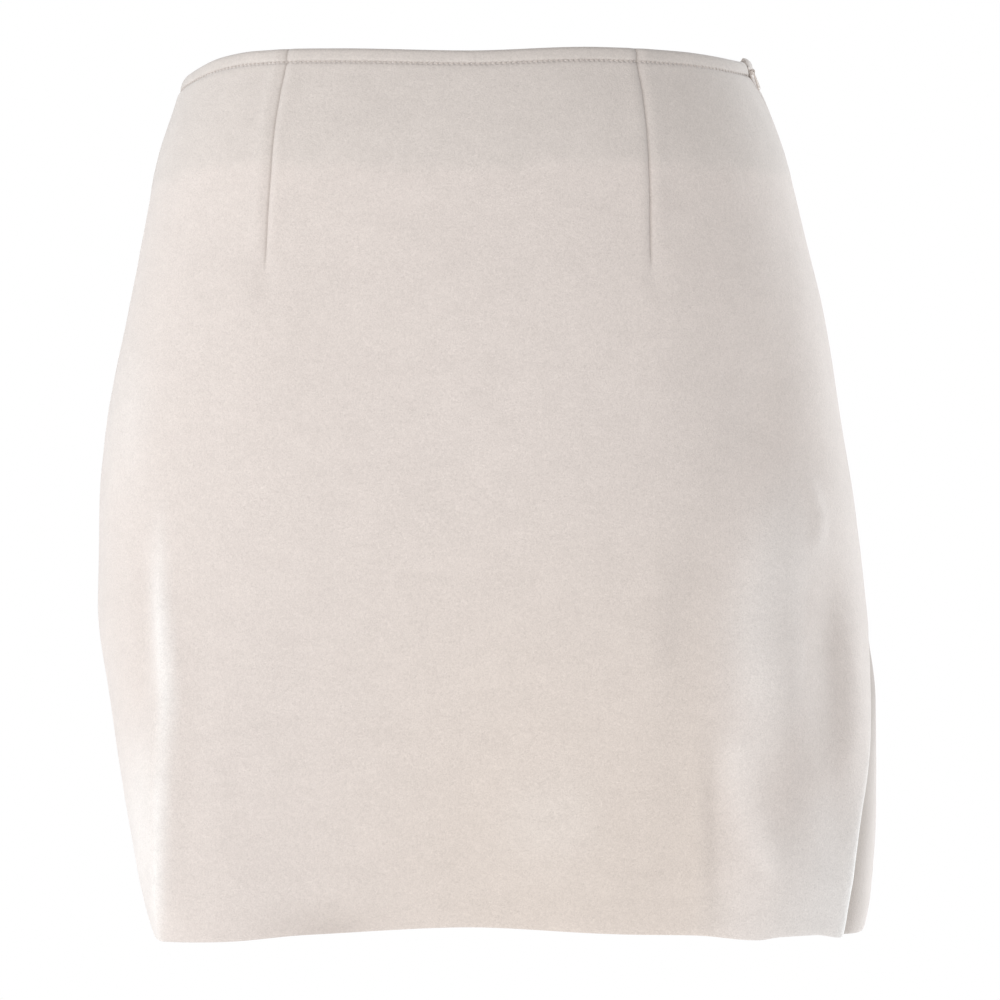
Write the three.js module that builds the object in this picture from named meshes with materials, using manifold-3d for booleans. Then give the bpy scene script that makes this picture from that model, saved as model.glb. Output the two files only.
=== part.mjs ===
// A mini skirt of pale suede cloth, hollow and open at the waist and the hem, filled out as it is when worn.
// It is cut as a front and a back, each shaped by two darts. The waist edge is turned over and topstitched.
// The seam at the wearer's left holds a concealed zip above and is left open as a slit below.
//
// Millimetres and degrees. +Z is up, +X is the wearer's left and -Y the front.
// The origin is the centre of the waist opening, level with its top edge, where the wearer's waist holds it.
// "Drop" is the distance below the origin. Angles run round the skirt: -90 is centre front, 0 the wearer's
// left side, 90 centre back and 180 the wearer's right side.
import * as THREE from "three";
import { mergeVertices } from "three/addons/utils/BufferGeometryUtils.js";
import Module from "manifold-3d";

const wasm = await Module();
wasm.setup();

// Cloth
const CLOTH = 1.5; // thickness of the suede with its backing
const TURNED_EDGE = 2.6; // thickness where the waist edge is turned over
const BAND = 6; // depth of the turned edge, down to its row of topstitching
const SEAM_GAP = 0.3; // between the two panels where they are sewn together

// The skirt's plan at each height. left, right, front and back are how far the cloth stands from the origin.
// rightFront is the front panel's own reach where the slit lets it part from the back panel.
// corner is how square the wearer's right front is: 2 is an ellipse, and 5 nearly a box.
// seamLeft and seamRight are the angles of the seams at the picture's left and right.
const SECTIONS = [
  { drop: -6, left: 127.9, right: 127.2, rightFront: 127.2, front: 92, back: 93.5, corner: 2.2, seamLeft: -178.5, seamRight: -12.4 },
  { drop: 5, left: 129.7, right: 129.2, rightFront: 129.2, front: 94, back: 96, corner: 2.2, seamLeft: -178.5, seamRight: -11 },
  { drop: 16, left: 133.6, right: 134.4, rightFront: 134.4, front: 97.5, back: 101, corner: 2.2, seamLeft: -178.5, seamRight: -8.8 },
  { drop: 40, left: 141.4, right: 143.1, rightFront: 143.1, front: 103, back: 110, corner: 2.2, seamLeft: -178.5, seamRight: -5 },
  { drop: 75, left: 148.5, right: 151.7, rightFront: 151.7, front: 108, back: 118, corner: 2.2, seamLeft: -178.5, seamRight: -2.4 },
  { drop: 115, left: 156.3, right: 161.3, rightFront: 161.3, front: 112, back: 124.5, corner: 2.25, seamLeft: -178, seamRight: -1.5 },
  { drop: 160, left: 164.5, right: 168.6, rightFront: 168.6, front: 114, back: 127, corner: 2.3, seamLeft: -176.5, seamRight: -1.5 },
  { drop: 200, left: 168.4, right: 174.8, rightFront: 174.8, front: 114.5, back: 127, corner: 2.35, seamLeft: -176.5, seamRight: -2 },
  { drop: 245, left: 168.9, right: 179.8, rightFront: 179.8, front: 113.5, back: 124, corner: 2.5, seamLeft: -178, seamRight: -2.5 },
  { drop: 290, left: 163, right: 186, rightFront: 182.5, front: 111, back: 119, corner: 2.9, seamLeft: -178, seamRight: -3 },
  { drop: 335, left: 155, right: 186.4, rightFront: 186.5, front: 108, back: 113.5, corner: 3.6, seamLeft: -178, seamRight: -3 },
  { drop: 375, left: 145.6, right: 183.6, rightFront: 190, front: 105.5, back: 109, corner: 4.6, seamLeft: -178, seamRight: -3 },
  { drop: 402, left: 136.2, right: 178.6, rightFront: 190, front: 104, back: 106, corner: 5.2, seamLeft: -178, seamRight: -3 },
];
const SQUARE_WAIST = 2.2; // how square the other three quarters are at the waist
const SQUARE_HEM = 2.45; // and at the hem
const SQUARER = { more: 0.8, starts: 230, full: 370 }; // the wearer's left front, which the slit lets stand flat

// Soft folds that the cloth falls into. head and foot are the angles where a fold begins and where it meets
// the hem. It grows from starts to full and dies away from fades to ends. height is how far it stands out,
// or in where it is negative, spread how far it reaches to each side, and round how blunt its crest is.
const FOLDS = {
  leftCorner: { head: -149.5, foot: -148, starts: 205, full: 330, fades: 420, ends: 430, height: 5, spread: 20, round: 1.5 },
  rightSwell: { head: -29, foot: -39, starts: 190, full: 290, fades: 420, ends: 430, height: 5.5, spread: 14, round: 10 },
  rightInnerHollow: { head: -46, foot: -47, starts: 250, full: 350, fades: 420, ends: 430, height: -4, spread: 12, round: 10 },
  rightOuterHollow: { head: -19, foot: -27, starts: 200, full: 265, fades: 330, ends: 395, height: -4.5, spread: 12, round: 12 },
  hipHollow: { head: -36, foot: -36, starts: 90, full: 150, fades: 190, ends: 260, height: -2.2, spread: 18, round: 16 },
  backRightSwell: { head: 52, foot: 46, starts: 185, full: 310, fades: 420, ends: 430, height: 5, spread: 16, round: 12 },
  backRightHollow: { head: 68, foot: 66, starts: 210, full: 330, fades: 420, ends: 430, height: -3.5, spread: 16, round: 14 },
  backLeftSwell: { head: 124, foot: 131, starts: 195, full: 320, fades: 420, ends: 430, height: 4.5, spread: 18, round: 12 },
  backLeftHollow: { head: 108, foot: 111, starts: 215, full: 340, fades: 420, ends: 430, height: -3, spread: 16, round: 14 },
};
const FOLD_FOOT = 395; // drop at which a fold has reached its foot angle

// Darts: stitched lines that run down from the waist edge.
const DARTS = {
  frontLeft: { head: -136.5, foot: -133.8, length: 98 },
  frontRight: { head: -47.1, foot: -51.2, length: 98 },
  backRight: { head: 52, foot: 56, length: 122 },
  backLeft: { head: 128, foot: 124, length: 122 },
};
const DART_DEPTH = 0.8; // how deep the stitched line lies
const DART_SPREAD = 1.1; // how far the cloth beside it dips
const DART_TAPER = 12; // the last stretch, where the line runs out

// The slit in the seam at the wearer's left
const SLIT_TOP = 257; // drop at which the seam ends and the slit begins
const SLIT_LENGTH = 140;
const SLIT_EDGE = [ // degrees that the front's free edge is drawn forward of the seam's line
  { drop: 257, turn: 0 },
  { drop: 289, turn: 5.5 },
  { drop: 335, turn: 15.2 },
  { drop: 375, turn: 20.5 },
  { drop: 397, turn: 22 },
];
const UNDERLAP = { starts: 264, full: 320, degrees: 6 }; // how far the back's edge lies behind the front
const TURN_IN = { from: 3, slopeTop: 0.26, slopeHem: 0.07, round: 8 }; // how the back's edge turns in
const TURN_IN_START = 20; // drop over which the back's edge leaves the front's

// The zip: a slider at the waist, and its tape and coil along the inside of the seam
const NOTCH = { gap: 2.2, bottom: 12, closed: 18 }; // the seam is held open by the slider's neck
const TAPE = { top: 9.4, bottom: 165, halfWidth: 12, thickness: 0.8, coilHalfWidth: 2, coilThickness: 2.4 };
const SLIDER = { drop: 4.4, clear: 0.45, bodyWidth: 4.6, bodyHeight: 8, bodyDepth: 2, neckWidth: 1.5, neckHeight: 5.5 };
const NOSE = { width: 3.4, height: 6, depth: 0.6 };
const CHEEK = { width: 0.65, height: 2, reach: 1.5 };
const PIN = { out: 2.25, radius: 0.3 };
const PULL = { length: 9, width: 3.4, neck: 1.5, depth: 0.8, eyeOuter: 0.9, eyeInner: 0.6 };

const radians = THREE.MathUtils.degToRad;
const smooth = THREE.MathUtils.smoothstep;
const clamp = THREE.MathUtils.clamp;
const lerp = THREE.MathUtils.lerp;

// Reads one column of a table at a place between its rows, on a curve with no overshoot.
function read(table, key, column, at) {
  const place = clamp(at, table[0][key], table[table.length - 1][key]);
  let i = table.findIndex((row) => row[key] >= place);
  i = clamp(i, 1, table.length - 1);
  const slope = (k) => {
    if (k < 1 || k > table.length - 1) return 0;
    return (table[k][column] - table[k - 1][column]) / (table[k][key] - table[k - 1][key]);
  };
  const tangent = (k) => {
    const before = slope(k);
    const after = slope(k + 1);
    if (k === 0) return after;
    if (k === table.length - 1) return before;
    return before * after > 0 ? (2 * before * after) / (before + after) : 0;
  };
  const [a, b] = [table[i - 1], table[i]];
  const span = b[key] - a[key];
  const t = (place - a[key]) / span;
  const [t2, t3] = [t * t, t * t * t];
  return (
    (2 * t3 - 3 * t2 + 1) * a[column] +
    (t3 - 2 * t2 + t) * span * tangent(i - 1) +
    (3 * t2 - 2 * t3) * b[column] +
    (t3 - t2) * span * tangent(i)
  );
}

const section = (column, drop) => read(SECTIONS, "drop", column, drop);

const foldAngle = (fold, drop) =>
  lerp(fold.head, fold.foot, clamp((drop - fold.starts) / (FOLD_FOOT - fold.starts), 0, 1));

const dartAngle = (dart, drop) => lerp(dart.head, dart.foot, clamp(drop / dart.length, 0, 1));

// How far a fold moves the cloth, at a distance round the skirt from its crest.
function foldHeight(fold, away, drop) {
  const grown = smooth(drop, fold.starts, fold.full) * (1 - smooth(drop, fold.fades, fold.ends));
  return fold.height * grown * Math.exp((fold.round - Math.hypot(away, fold.round)) / fold.spread);
}

function dartHeight(dart, away, drop) {
  const left = 1 - smooth(drop, dart.length - DART_TAPER, dart.length);
  return -DART_DEPTH * left * Math.exp(-Math.abs(away) / DART_SPREAD);
}

// The back's free edge turns in behind the front's below the top of the slit.
function turnIn(angle, radius, drop) {
  const past = radians(Math.max(0, TURN_IN.from - angle)) * radius;
  const down = clamp((drop - SLIT_TOP) / SLIT_LENGTH, 0, 1);
  const grown = smooth(drop, SLIT_TOP, SLIT_TOP + TURN_IN_START);
  const slope = lerp(TURN_IN.slopeTop, TURN_IN.slopeHem, down);
  return -grown * slope * (Math.hypot(past, TURN_IN.round) - TURN_IN.round);
}

// A point on a panel's outer face.
function outer(panel, angle, drop) {
  const [c, s] = [Math.cos(radians(angle)), Math.sin(radians(angle))];
  let square = lerp(SQUARE_WAIST, SQUARE_HEM, clamp(drop / FOLD_FOOT, 0, 1));
  if (c < 0 && s < 0) square = section("corner", drop);
  else if (s < 0) square += SQUARER.more * smooth(drop, SQUARER.starts, SQUARER.full);
  const across = section(c < 0 ? "left" : panel.right, drop);
  const through = section(s < 0 ? "front" : "back", drop);
  const plan = ((Math.abs(c) / across) ** square + (Math.abs(s) / through) ** square) ** (-1 / square);
  let radius = plan;
  for (const fold of panel.folds) {
    radius += foldHeight(fold, radians(angle - foldAngle(fold, drop)) * plan, drop);
  }
  for (const dart of panel.darts) {
    radius += dartHeight(dart, radians(angle - dartAngle(dart, drop)) * plan, drop);
  }
  if (panel.turnsIn) radius += turnIn(angle, plan, drop);
  return new THREE.Vector3(radius * c, radius * s, -drop);
}

// The outward direction there.
function outward(panel, angle, drop) {
  const [turn, fall] = [0.25, 0.5];
  const round = outer(panel, angle + turn, drop).sub(outer(panel, angle - turn, drop));
  const down = outer(panel, angle, drop + fall).sub(outer(panel, angle, drop - fall));
  return down.cross(round).normalize();
}

const under = (panel, angle, drop, depth) =>
  outer(panel, angle, drop).addScaledVector(outward(panel, angle, drop), -depth);

// The seams as the angles at which a panel ends, half a gap back from the seam's own line.
const halfGap = (gap, drop) => THREE.MathUtils.radToDeg(gap / 2 / section("right", drop));
const notchGap = (drop) => lerp(NOTCH.gap, SEAM_GAP, smooth(drop, NOTCH.bottom, NOTCH.closed));
const tapeSide = (drop) => THREE.MathUtils.radToDeg(TAPE.halfWidth / section("right", drop));
const leftSeam = (drop) => section("seamLeft", drop);
const rightSeam = (drop) => section("seamRight", drop);

function frontFreeEdge(drop) {
  return rightSeam(drop) - read(SLIT_EDGE, "drop", "turn", drop) - halfGap(notchGap(drop), drop);
}

function backFreeEdge(drop) {
  const behind = UNDERLAP.degrees * smooth(drop, UNDERLAP.starts, UNDERLAP.full);
  const lean = read(SLIT_EDGE, "drop", "turn", drop);
  const follows = smooth(drop, UNDERLAP.starts, UNDERLAP.starts + TURN_IN_START);
  return rightSeam(drop) - lean * follows - behind + halfGap(notchGap(drop), drop);
}

// A panel is ruled by named lines that run from waist to hem, with columns of cloth between them.
// waist and hem, in edges, are the heights of its top and bottom edges at places round it.
const front = {
  right: "rightFront",
  turnsIn: false,
  folds: ["leftCorner", "rightSwell", "rightInnerHollow", "rightOuterHollow", "hipHollow"].map((n) => FOLDS[n]),
  darts: [DARTS.frontLeft, DARTS.frontRight],
  lines: [
    { angle: (drop) => leftSeam(drop) + halfGap(SEAM_GAP, drop), columns: 6 },
    { angle: (drop) => foldAngle(FOLDS.leftCorner, drop), columns: 3 },
    { angle: (drop) => dartAngle(DARTS.frontLeft, drop), columns: 15, isDart: true },
    { angle: (drop) => dartAngle(DARTS.frontRight, drop), columns: 3, isDart: true },
    { angle: (drop) => foldAngle(FOLDS.rightSwell, drop), columns: 6 },
    { angle: (drop) => frontFreeEdge(drop) - tapeSide(drop), columns: 3 },
    { angle: frontFreeEdge },
  ],
  edges: [
    { angle: -180, waist: -6, hem: -394 },
    { angle: -167, waist: -4, hem: -393 },
    { angle: -154, waist: 0.4, hem: -391.8 },
    { angle: -145, waist: 1.7, hem: -391.2 },
    { angle: -137, waist: 1.7, hem: -390.2 },
    { angle: -125, waist: 1.2, hem: -386.9 },
    { angle: -90, waist: -0.5, hem: -383.4 },
    { angle: -55, waist: 1.8, hem: -386.8 },
    { angle: -45, waist: 1.7, hem: -387.4 },
    { angle: -38, waist: 1.5, hem: -389.6 },
    { angle: -35, waist: 1.4, hem: -388.6 },
    { angle: -30, waist: 1, hem: -388.4 },
    { angle: -26, waist: 0.6, hem: -390.2 },
    { angle: -18, waist: 0, hem: -391.6 },
    { angle: -8, waist: 0, hem: -393 },
  ],
};

const back = {
  right: "right",
  turnsIn: true,
  folds: ["backRightSwell", "backRightHollow", "backLeftSwell", "backLeftHollow"].map((n) => FOLDS[n]),
  darts: [DARTS.backRight, DARTS.backLeft],
  lines: [
    { angle: backFreeEdge, columns: 3 },
    { angle: (drop) => backFreeEdge(drop) + tapeSide(drop), columns: 11 },
    { angle: (drop) => dartAngle(DARTS.backRight, drop), columns: 13, isDart: true },
    { angle: (drop) => dartAngle(DARTS.backLeft, drop), columns: 11, isDart: true },
    { angle: (drop) => leftSeam(drop) + 360 - halfGap(SEAM_GAP, drop) },
  ],
  edges: [
    { angle: -30, waist: 2, hem: -387.2 },
    { angle: -22, waist: 2.2, hem: -390 },
    { angle: -6, waist: 2.4, hem: -392.2 },
    { angle: 12, waist: 1.6, hem: -393.4 },
    { angle: 90, waist: 0, hem: -396 },
    { angle: 165, waist: -3, hem: -394.5 },
    { angle: 182, waist: -6, hem: -394 },
  ],
};

// Places across a panel: whole numbers are its lines, and the columns lie between them.
// A dart has one more column close on each side, so that its groove is narrow.
function columnsOf(panel) {
  const beside = 0.045;
  const places = [];
  panel.lines.forEach((line, i) => {
    places.push(i);
    const next = panel.lines[i + 1];
    if (!next) return;
    const few = line.columns < 5 ? 3 : 1; // a narrow stretch has its side column further off, as a share
    if (line.isDart) places.push(i + beside * few);
    for (let k = 1; k < line.columns; k++) places.push(i + k / line.columns);
    if (next.isDart) places.push(i + 1 - beside * few);
  });
  return places.sort((a, b) => a - b);
}

function angleAt(panel, place, drop) {
  const i = Math.min(Math.floor(place), panel.lines.length - 2);
  return lerp(panel.lines[i].angle(drop), panel.lines[i + 1].angle(drop), place - i);
}

const ROWS = 25; // rows of cloth below the first level one
const BAND_ROWS = [0, BAND, BAND + 1];
const LEVEL = 12; // drop of the first row that is level all round

// The drops of the rows from the first level one to the hem.
const levelRows = (foot) => Array.from({ length: ROWS + 1 }, (_, k) => lerp(LEVEL, foot, k / ROWS));

// The drops of one column, from the waist edge to the hem.
function dropsOf(panel, place) {
  const top = -read(panel.edges, "angle", "waist", angleAt(panel, place, 0));
  const foot = -read(panel.edges, "angle", "hem", angleAt(panel, place, FOLD_FOOT));
  return [...BAND_ROWS.map((d) => top + d), ...levelRows(foot)];
}

// Joins two grids of points, one behind the other, into a closed wall.
function wall(outside, inside) {
  const [across, down] = [outside.length, outside[0].length];
  const points = [...outside.flat(), ...inside.flat()];
  const index = (side, i, j) => side * across * down + i * down + j;
  const faces = [];
  const quad = (a, b, c, d) => faces.push(a, b, c, a, c, d);
  for (let i = 0; i < across - 1; i++) {
    for (let j = 0; j < down - 1; j++) {
      quad(index(0, i, j), index(0, i, j + 1), index(0, i + 1, j + 1), index(0, i + 1, j));
      quad(index(1, i, j), index(1, i + 1, j), index(1, i + 1, j + 1), index(1, i, j + 1));
    }
  }
  for (let i = 0; i < across - 1; i++) {
    quad(index(0, i, 0), index(0, i + 1, 0), index(1, i + 1, 0), index(1, i, 0));
    quad(index(0, i + 1, down - 1), index(0, i, down - 1), index(1, i, down - 1), index(1, i + 1, down - 1));
  }
  for (let j = 0; j < down - 1; j++) {
    quad(index(0, 0, j + 1), index(0, 0, j), index(1, 0, j), index(1, 0, j + 1));
    const last = across - 1;
    quad(index(0, last, j), index(0, last, j + 1), index(1, last, j + 1), index(1, last, j));
  }
  const geometry = new THREE.BufferGeometry().setFromPoints(points);
  geometry.setIndex(faces);
  geometry.computeVertexNormals();
  return geometry;
}

function panelWall(panel) {
  const outside = [];
  const inside = [];
  for (const place of columnsOf(panel)) {
    const drops = dropsOf(panel, place);
    const at = drops.map((drop) => [angleAt(panel, place, drop), drop]);
    outside.push(at.map(([angle, drop]) => outer(panel, angle, drop)));
    inside.push(
      at.map(([angle, drop], j) => under(panel, angle, drop, j < 2 ? TURNED_EDGE : CLOTH)),
    );
  }
  return wall(outside, inside);
}

// The zip's tape lies on the inside of both panels, with its coil as a ridge down the middle.
function zipTape() {
  const edge = 0.2; // the coil's side slopes this much
  const sides = [
    { across: -TAPE.halfWidth, thick: TAPE.thickness },
    { across: -TAPE.halfWidth / 2, thick: TAPE.thickness },
    { across: -TAPE.coilHalfWidth - edge, thick: TAPE.thickness },
    { across: -TAPE.coilHalfWidth, thick: TAPE.coilThickness },
    { across: TAPE.coilHalfWidth, thick: TAPE.coilThickness },
    { across: TAPE.coilHalfWidth + edge, thick: TAPE.thickness },
    { across: TAPE.halfWidth / 2, thick: TAPE.thickness },
    { across: TAPE.halfWidth, thick: TAPE.thickness },
  ];
  const clear = CLOTH + SEAM_GAP;
  const foot = -read(front.edges, "angle", "hem", 0);
  const drops = [TAPE.top, ...levelRows(foot).filter((drop) => drop < TAPE.bottom), TAPE.bottom];
  const face = (depthOf) =>
    sides.map((side) =>
      drops.map((drop) => {
        const turn = THREE.MathUtils.radToDeg(side.across / section("right", drop));
        return under(back, rightSeam(drop) + turn, drop, depthOf(side));
      }),
    );
  return wall(face(() => clear), face((side) => clear + side.thick));
}

// The slider's own frame: X outward from the seam, Y round the skirt towards the back, Z up along the seam.
function sliderFrame() {
  const seamPoint = (drop) => outer(back, rightSeam(drop), drop);
  const reach = SLIDER.bodyHeight / 2;
  const up = seamPoint(SLIDER.drop - reach).sub(seamPoint(SLIDER.drop + reach)).normalize();
  const round = up.clone().cross(outward(back, rightSeam(SLIDER.drop), SLIDER.drop)).normalize();
  const basis = new THREE.Matrix4().makeBasis(round.clone().cross(up), round, up);
  return basis.setPosition(seamPoint(SLIDER.drop));
}

function solidOf(geometry) {
  const bare = geometry.clone();
  bare.deleteAttribute("normal");
  bare.deleteAttribute("uv");
  const merged = mergeVertices(bare, 1e-4);
  const mesh = { numProp: 3, vertProperties: merged.attributes.position.array, triVerts: merged.index.array };
  mesh.triVerts = new Uint32Array(mesh.triVerts);
  return new wasm.Manifold(new wasm.Mesh(mesh));
}

function geometryOf(solid) {
  const mesh = solid.getMesh();
  const geometry = new THREE.BufferGeometry();
  geometry.setAttribute("position", new THREE.BufferAttribute(mesh.vertProperties, 3));
  geometry.setIndex(new THREE.BufferAttribute(mesh.triVerts, 1));
  geometry.computeVertexNormals();
  return geometry;
}

// A box by its sizes and the place of its middle.
function block(x, y, z, at) {
  return solidOf(new THREE.BoxGeometry(x, y, z).translate(...at));
}

// A round bar along Y.
function bar(radius, length, at) {
  return solidOf(new THREE.CylinderGeometry(radius, radius, length, 16).translate(...at));
}

function zipSlider() {
  const inside = -(TURNED_EDGE + SLIDER.clear + SLIDER.bodyDepth);
  const noseFace = SLIDER.clear + NOSE.depth;
  const body = block(SLIDER.bodyDepth, SLIDER.bodyWidth, SLIDER.bodyHeight, [
    inside + SLIDER.bodyDepth / 2,
    0,
    0,
  ]);
  const neck = block(noseFace - inside - 0.4, SLIDER.neckWidth, SLIDER.neckHeight, [
    (noseFace + inside) / 2,
    0,
    0,
  ]);
  const nose = block(NOSE.depth, NOSE.width, NOSE.height, [SLIDER.clear + NOSE.depth / 2, 0, 0]);
  const cheekY = (NOSE.width - CHEEK.width) / 2;
  const cheeks = [-cheekY, cheekY].map((y) =>
    block(CHEEK.reach + 0.2, CHEEK.width, CHEEK.height, [noseFace + CHEEK.reach / 2 - 0.1, y, 0]),
  );
  const pin = bar(PIN.radius, NOSE.width - CHEEK.width, [PIN.out, 0, 0]);
  return geometryOf([neck, nose, ...cheeks, pin].reduce((all, piece) => all.add(piece), body));
}

// The pull hangs from the slider's pin: an eye round the pin and a drop-shaped tab.
function zipPull() {
  const { length, width, neck, depth, eyeOuter, eyeInner } = PULL;
  const ring = new THREE.Shape().absarc(0, 0, eyeOuter, 0, 2 * Math.PI);
  ring.holes.push(new THREE.Path().absarc(0, 0, eyeInner, 0, 2 * Math.PI, true));
  const eye = new THREE.ExtrudeGeometry(ring, { depth: neck, bevelEnabled: false, curveSegments: 12 });
  eye.translate(0, 0, -neck / 2).rotateX(Math.PI / 2);
  const foot = -length + width / 2;
  const tab = new THREE.Shape();
  tab.moveTo(-neck / 2, -eyeInner - 0.15);
  tab.lineTo(-neck / 2, -2);
  tab.lineTo(-width / 2, foot);
  tab.absarc(0, foot, width / 2, Math.PI, 2 * Math.PI);
  tab.lineTo(neck / 2, -2);
  tab.lineTo(neck / 2, -eyeInner - 0.15);
  const plate = new THREE.ExtrudeGeometry(tab, { depth, bevelEnabled: false, curveSegments: 8 });
  plate.translate(0, 0, -depth / 2).rotateX(Math.PI / 2).rotateZ(Math.PI / 2);
  return geometryOf(solidOf(eye).add(solidOf(plate)));
}

const suede = new THREE.MeshStandardMaterial({ color: 0xdfd6cf, roughness: 0.95, metalness: 0 });
const tapeCloth = new THREE.MeshStandardMaterial({ color: 0xd8cec6, roughness: 0.85, metalness: 0 });
const enamel = new THREE.MeshStandardMaterial({ color: 0xd9cfc7, roughness: 0.35, metalness: 0.2 });

const skirt = new THREE.Group();

function add(name, geometry, material, parent = skirt) {
  const mesh = new THREE.Mesh(geometry, material);
  mesh.name = name;
  parent.add(mesh);
  return mesh;
}

add("front_panel", panelWall(front), suede);
add("back_panel", panelWall(back), suede);
add("zip_tape", zipTape(), tapeCloth);

const slider = new THREE.Group();
slider.applyMatrix4(sliderFrame());
skirt.add(slider);
add("zip_slider", zipSlider(), enamel, slider);
const pull = add("zip_pull", zipPull(), enamel, slider);
pull.position.set(PIN.out, 0, 0);

export default skirt;
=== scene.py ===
"""A mini skirt of pale suede cloth in the shape that it keeps when worn, hollow and open at waist and hem.

The scene is in metres. The cutting tables are in millimetres and degrees. +Z is up, +X is the wearer's
left and -Y the front. A drop is a distance below the centre of the waist opening. Angles run round the
skirt: -90 is centre front, 0 the wearer's left side, 90 centre back and 180 the wearer's right side.
"""

import logging
import math
from dataclasses import dataclass
from enum import Enum
from typing import Callable

import bmesh
import bpy
import numpy as np
from bmesh.types import BMEdge, BMesh, BMVert
from bpy.types import Material, Mesh, Node, NodeSocket, Object
from mathutils import Matrix, Vector, noise


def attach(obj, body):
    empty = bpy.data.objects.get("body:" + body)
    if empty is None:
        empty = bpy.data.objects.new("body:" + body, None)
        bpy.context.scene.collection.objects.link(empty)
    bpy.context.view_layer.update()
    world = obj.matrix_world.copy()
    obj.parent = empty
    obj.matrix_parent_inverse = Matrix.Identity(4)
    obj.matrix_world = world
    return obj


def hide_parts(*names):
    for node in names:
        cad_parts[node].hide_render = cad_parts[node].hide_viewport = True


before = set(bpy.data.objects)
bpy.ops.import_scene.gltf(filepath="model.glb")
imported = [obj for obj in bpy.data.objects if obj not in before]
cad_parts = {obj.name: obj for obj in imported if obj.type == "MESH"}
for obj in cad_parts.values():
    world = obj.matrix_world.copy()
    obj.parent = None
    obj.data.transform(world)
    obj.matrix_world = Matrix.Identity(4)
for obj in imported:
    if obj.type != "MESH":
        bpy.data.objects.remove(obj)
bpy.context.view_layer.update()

MM = 0.001
FOOT = 395.0
LOG = logging.getLogger("skirt")
Array = np.ndarray
Line = Callable[[Array], Array]
Sizes = tuple[float, float, float]
Color = tuple[float, float, float, float]


class Body(Enum):
    """The bodies that pieces ride on."""

    SKIRT = "skirt"
    PULL = "pull_tab"


class Slot(Enum):
    """The record's finishes."""

    SUEDE = "suede"
    TAPE = "tape"
    ENAMEL = "enamel"


class End(Enum):
    """What stands at a named line of a panel, which says how close its columns lie."""

    EDGE = (0.5, 1.2, 2.2, 3.6)
    DART = (0.35, 0.8, 1.4, 2.2, 3.4, 5.0)
    CREST = (0.8, 1.8, 3.2)
    PLAIN = ()


def smooth(at: Array | float, start: float, end: float) -> Array:
    """A soft step.

    Args:
        at: Where it is read.
        start: Where it leaves 0.
        end: Where it reaches 1.

    Returns:
        Values from 0 to 1.
    """
    t = np.clip((np.asarray(at, float) - start) / (end - start), 0.0, 1.0)
    return t * t * (3 - 2 * t)


def bump(at: Array, middle: float, width: float) -> Array:
    """A soft hump of height 1.

    Args:
        at: Where it is read.
        middle: Where it stands.
        width: How far it reaches to each side.

    Returns:
        Values from 0 to 1.
    """
    return np.exp(-(((at - middle) / width) ** 2))


def arc(turn: Array, radius: Array) -> Array:
    """Millimetres round the skirt for degrees of turn."""
    return np.radians(turn) * radius


class Curve:
    """A curve through the rows of a table, with no overshoot between them."""

    def __init__(self, places: list[float], values: list[float]) -> None:
        """Works out the curve's slopes.

        Args:
            places: Where the rows stand, rising.
            values: What they hold.
        """
        self.places, self.values = np.array(places, float), np.array(values, float)
        slopes = np.diff(self.values) / np.diff(self.places)
        before, after = slopes[:-1], slopes[1:]
        both = before + after
        inner = np.where(before * after > 0, 2 * before * after / np.where(both == 0, 1, both), 0)
        self.tangents = np.concatenate([slopes[:1], inner, slopes[-1:]])

    def __call__(self, at: Array | float) -> Array:
        """Reads the curve.

        Args:
            at: Places, held within the table.

        Returns:
            The values there.
        """
        place = np.clip(np.asarray(at, float), self.places[0], self.places[-1])
        i = np.clip(np.searchsorted(self.places, place), 1, len(self.places) - 1)
        span = self.places[i] - self.places[i - 1]
        t = (place - self.places[i - 1]) / span
        t2, t3 = t * t, t * t * t
        return (
            (2 * t3 - 3 * t2 + 1) * self.values[i - 1]
            + (t3 - 2 * t2 + t) * span * self.tangents[i - 1]
            + (3 * t2 - 2 * t3) * self.values[i]
            + (t3 - t2) * span * self.tangents[i]
        )


@dataclass(frozen=True)
class Ridge:
    """A soft ridge beside a line, or a groove where its height is below zero."""

    height: float
    place: float
    width: float

    def lift(self, away: Array) -> Array:
        """How far it moves the cloth at a distance from the line."""
        return self.height * bump(away, self.place, self.width)


@dataclass(frozen=True)
class Section:
    """The skirt's plan at one drop: how far the cloth stands from the origin on each side.

    corner is how square the wearer's right front is, and seam_left and seam_right are the seams' angles.
    """

    drop: float
    left: float
    right: float
    right_front: float
    front: float
    back: float
    corner: float
    seam_left: float
    seam_right: float


@dataclass(frozen=True)
class Fold:
    """A soft fold between two angles, at its head and at the skirt's foot.

    It grows from the drop starts to full, and dies away from fades to ends.
    """

    head: float
    foot: float
    starts: float
    full: float
    fades: float
    ends: float
    height: float
    spread: float
    round: float

    def angle(self, drop: Array) -> Array:
        """The angle of its crest at a drop."""
        down = np.clip((drop - self.starts) / (FOOT - self.starts), 0, 1)
        return self.head + (self.foot - self.head) * down

    def lift(self, away: Array, drop: Array) -> Array:
        """How far it moves the cloth at a distance round the skirt from its crest."""
        grown = smooth(drop, self.starts, self.full) * (1 - smooth(drop, self.fades, self.ends))
        return self.height * grown * np.exp((self.round - np.hypot(away, self.round)) / self.spread)


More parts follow.
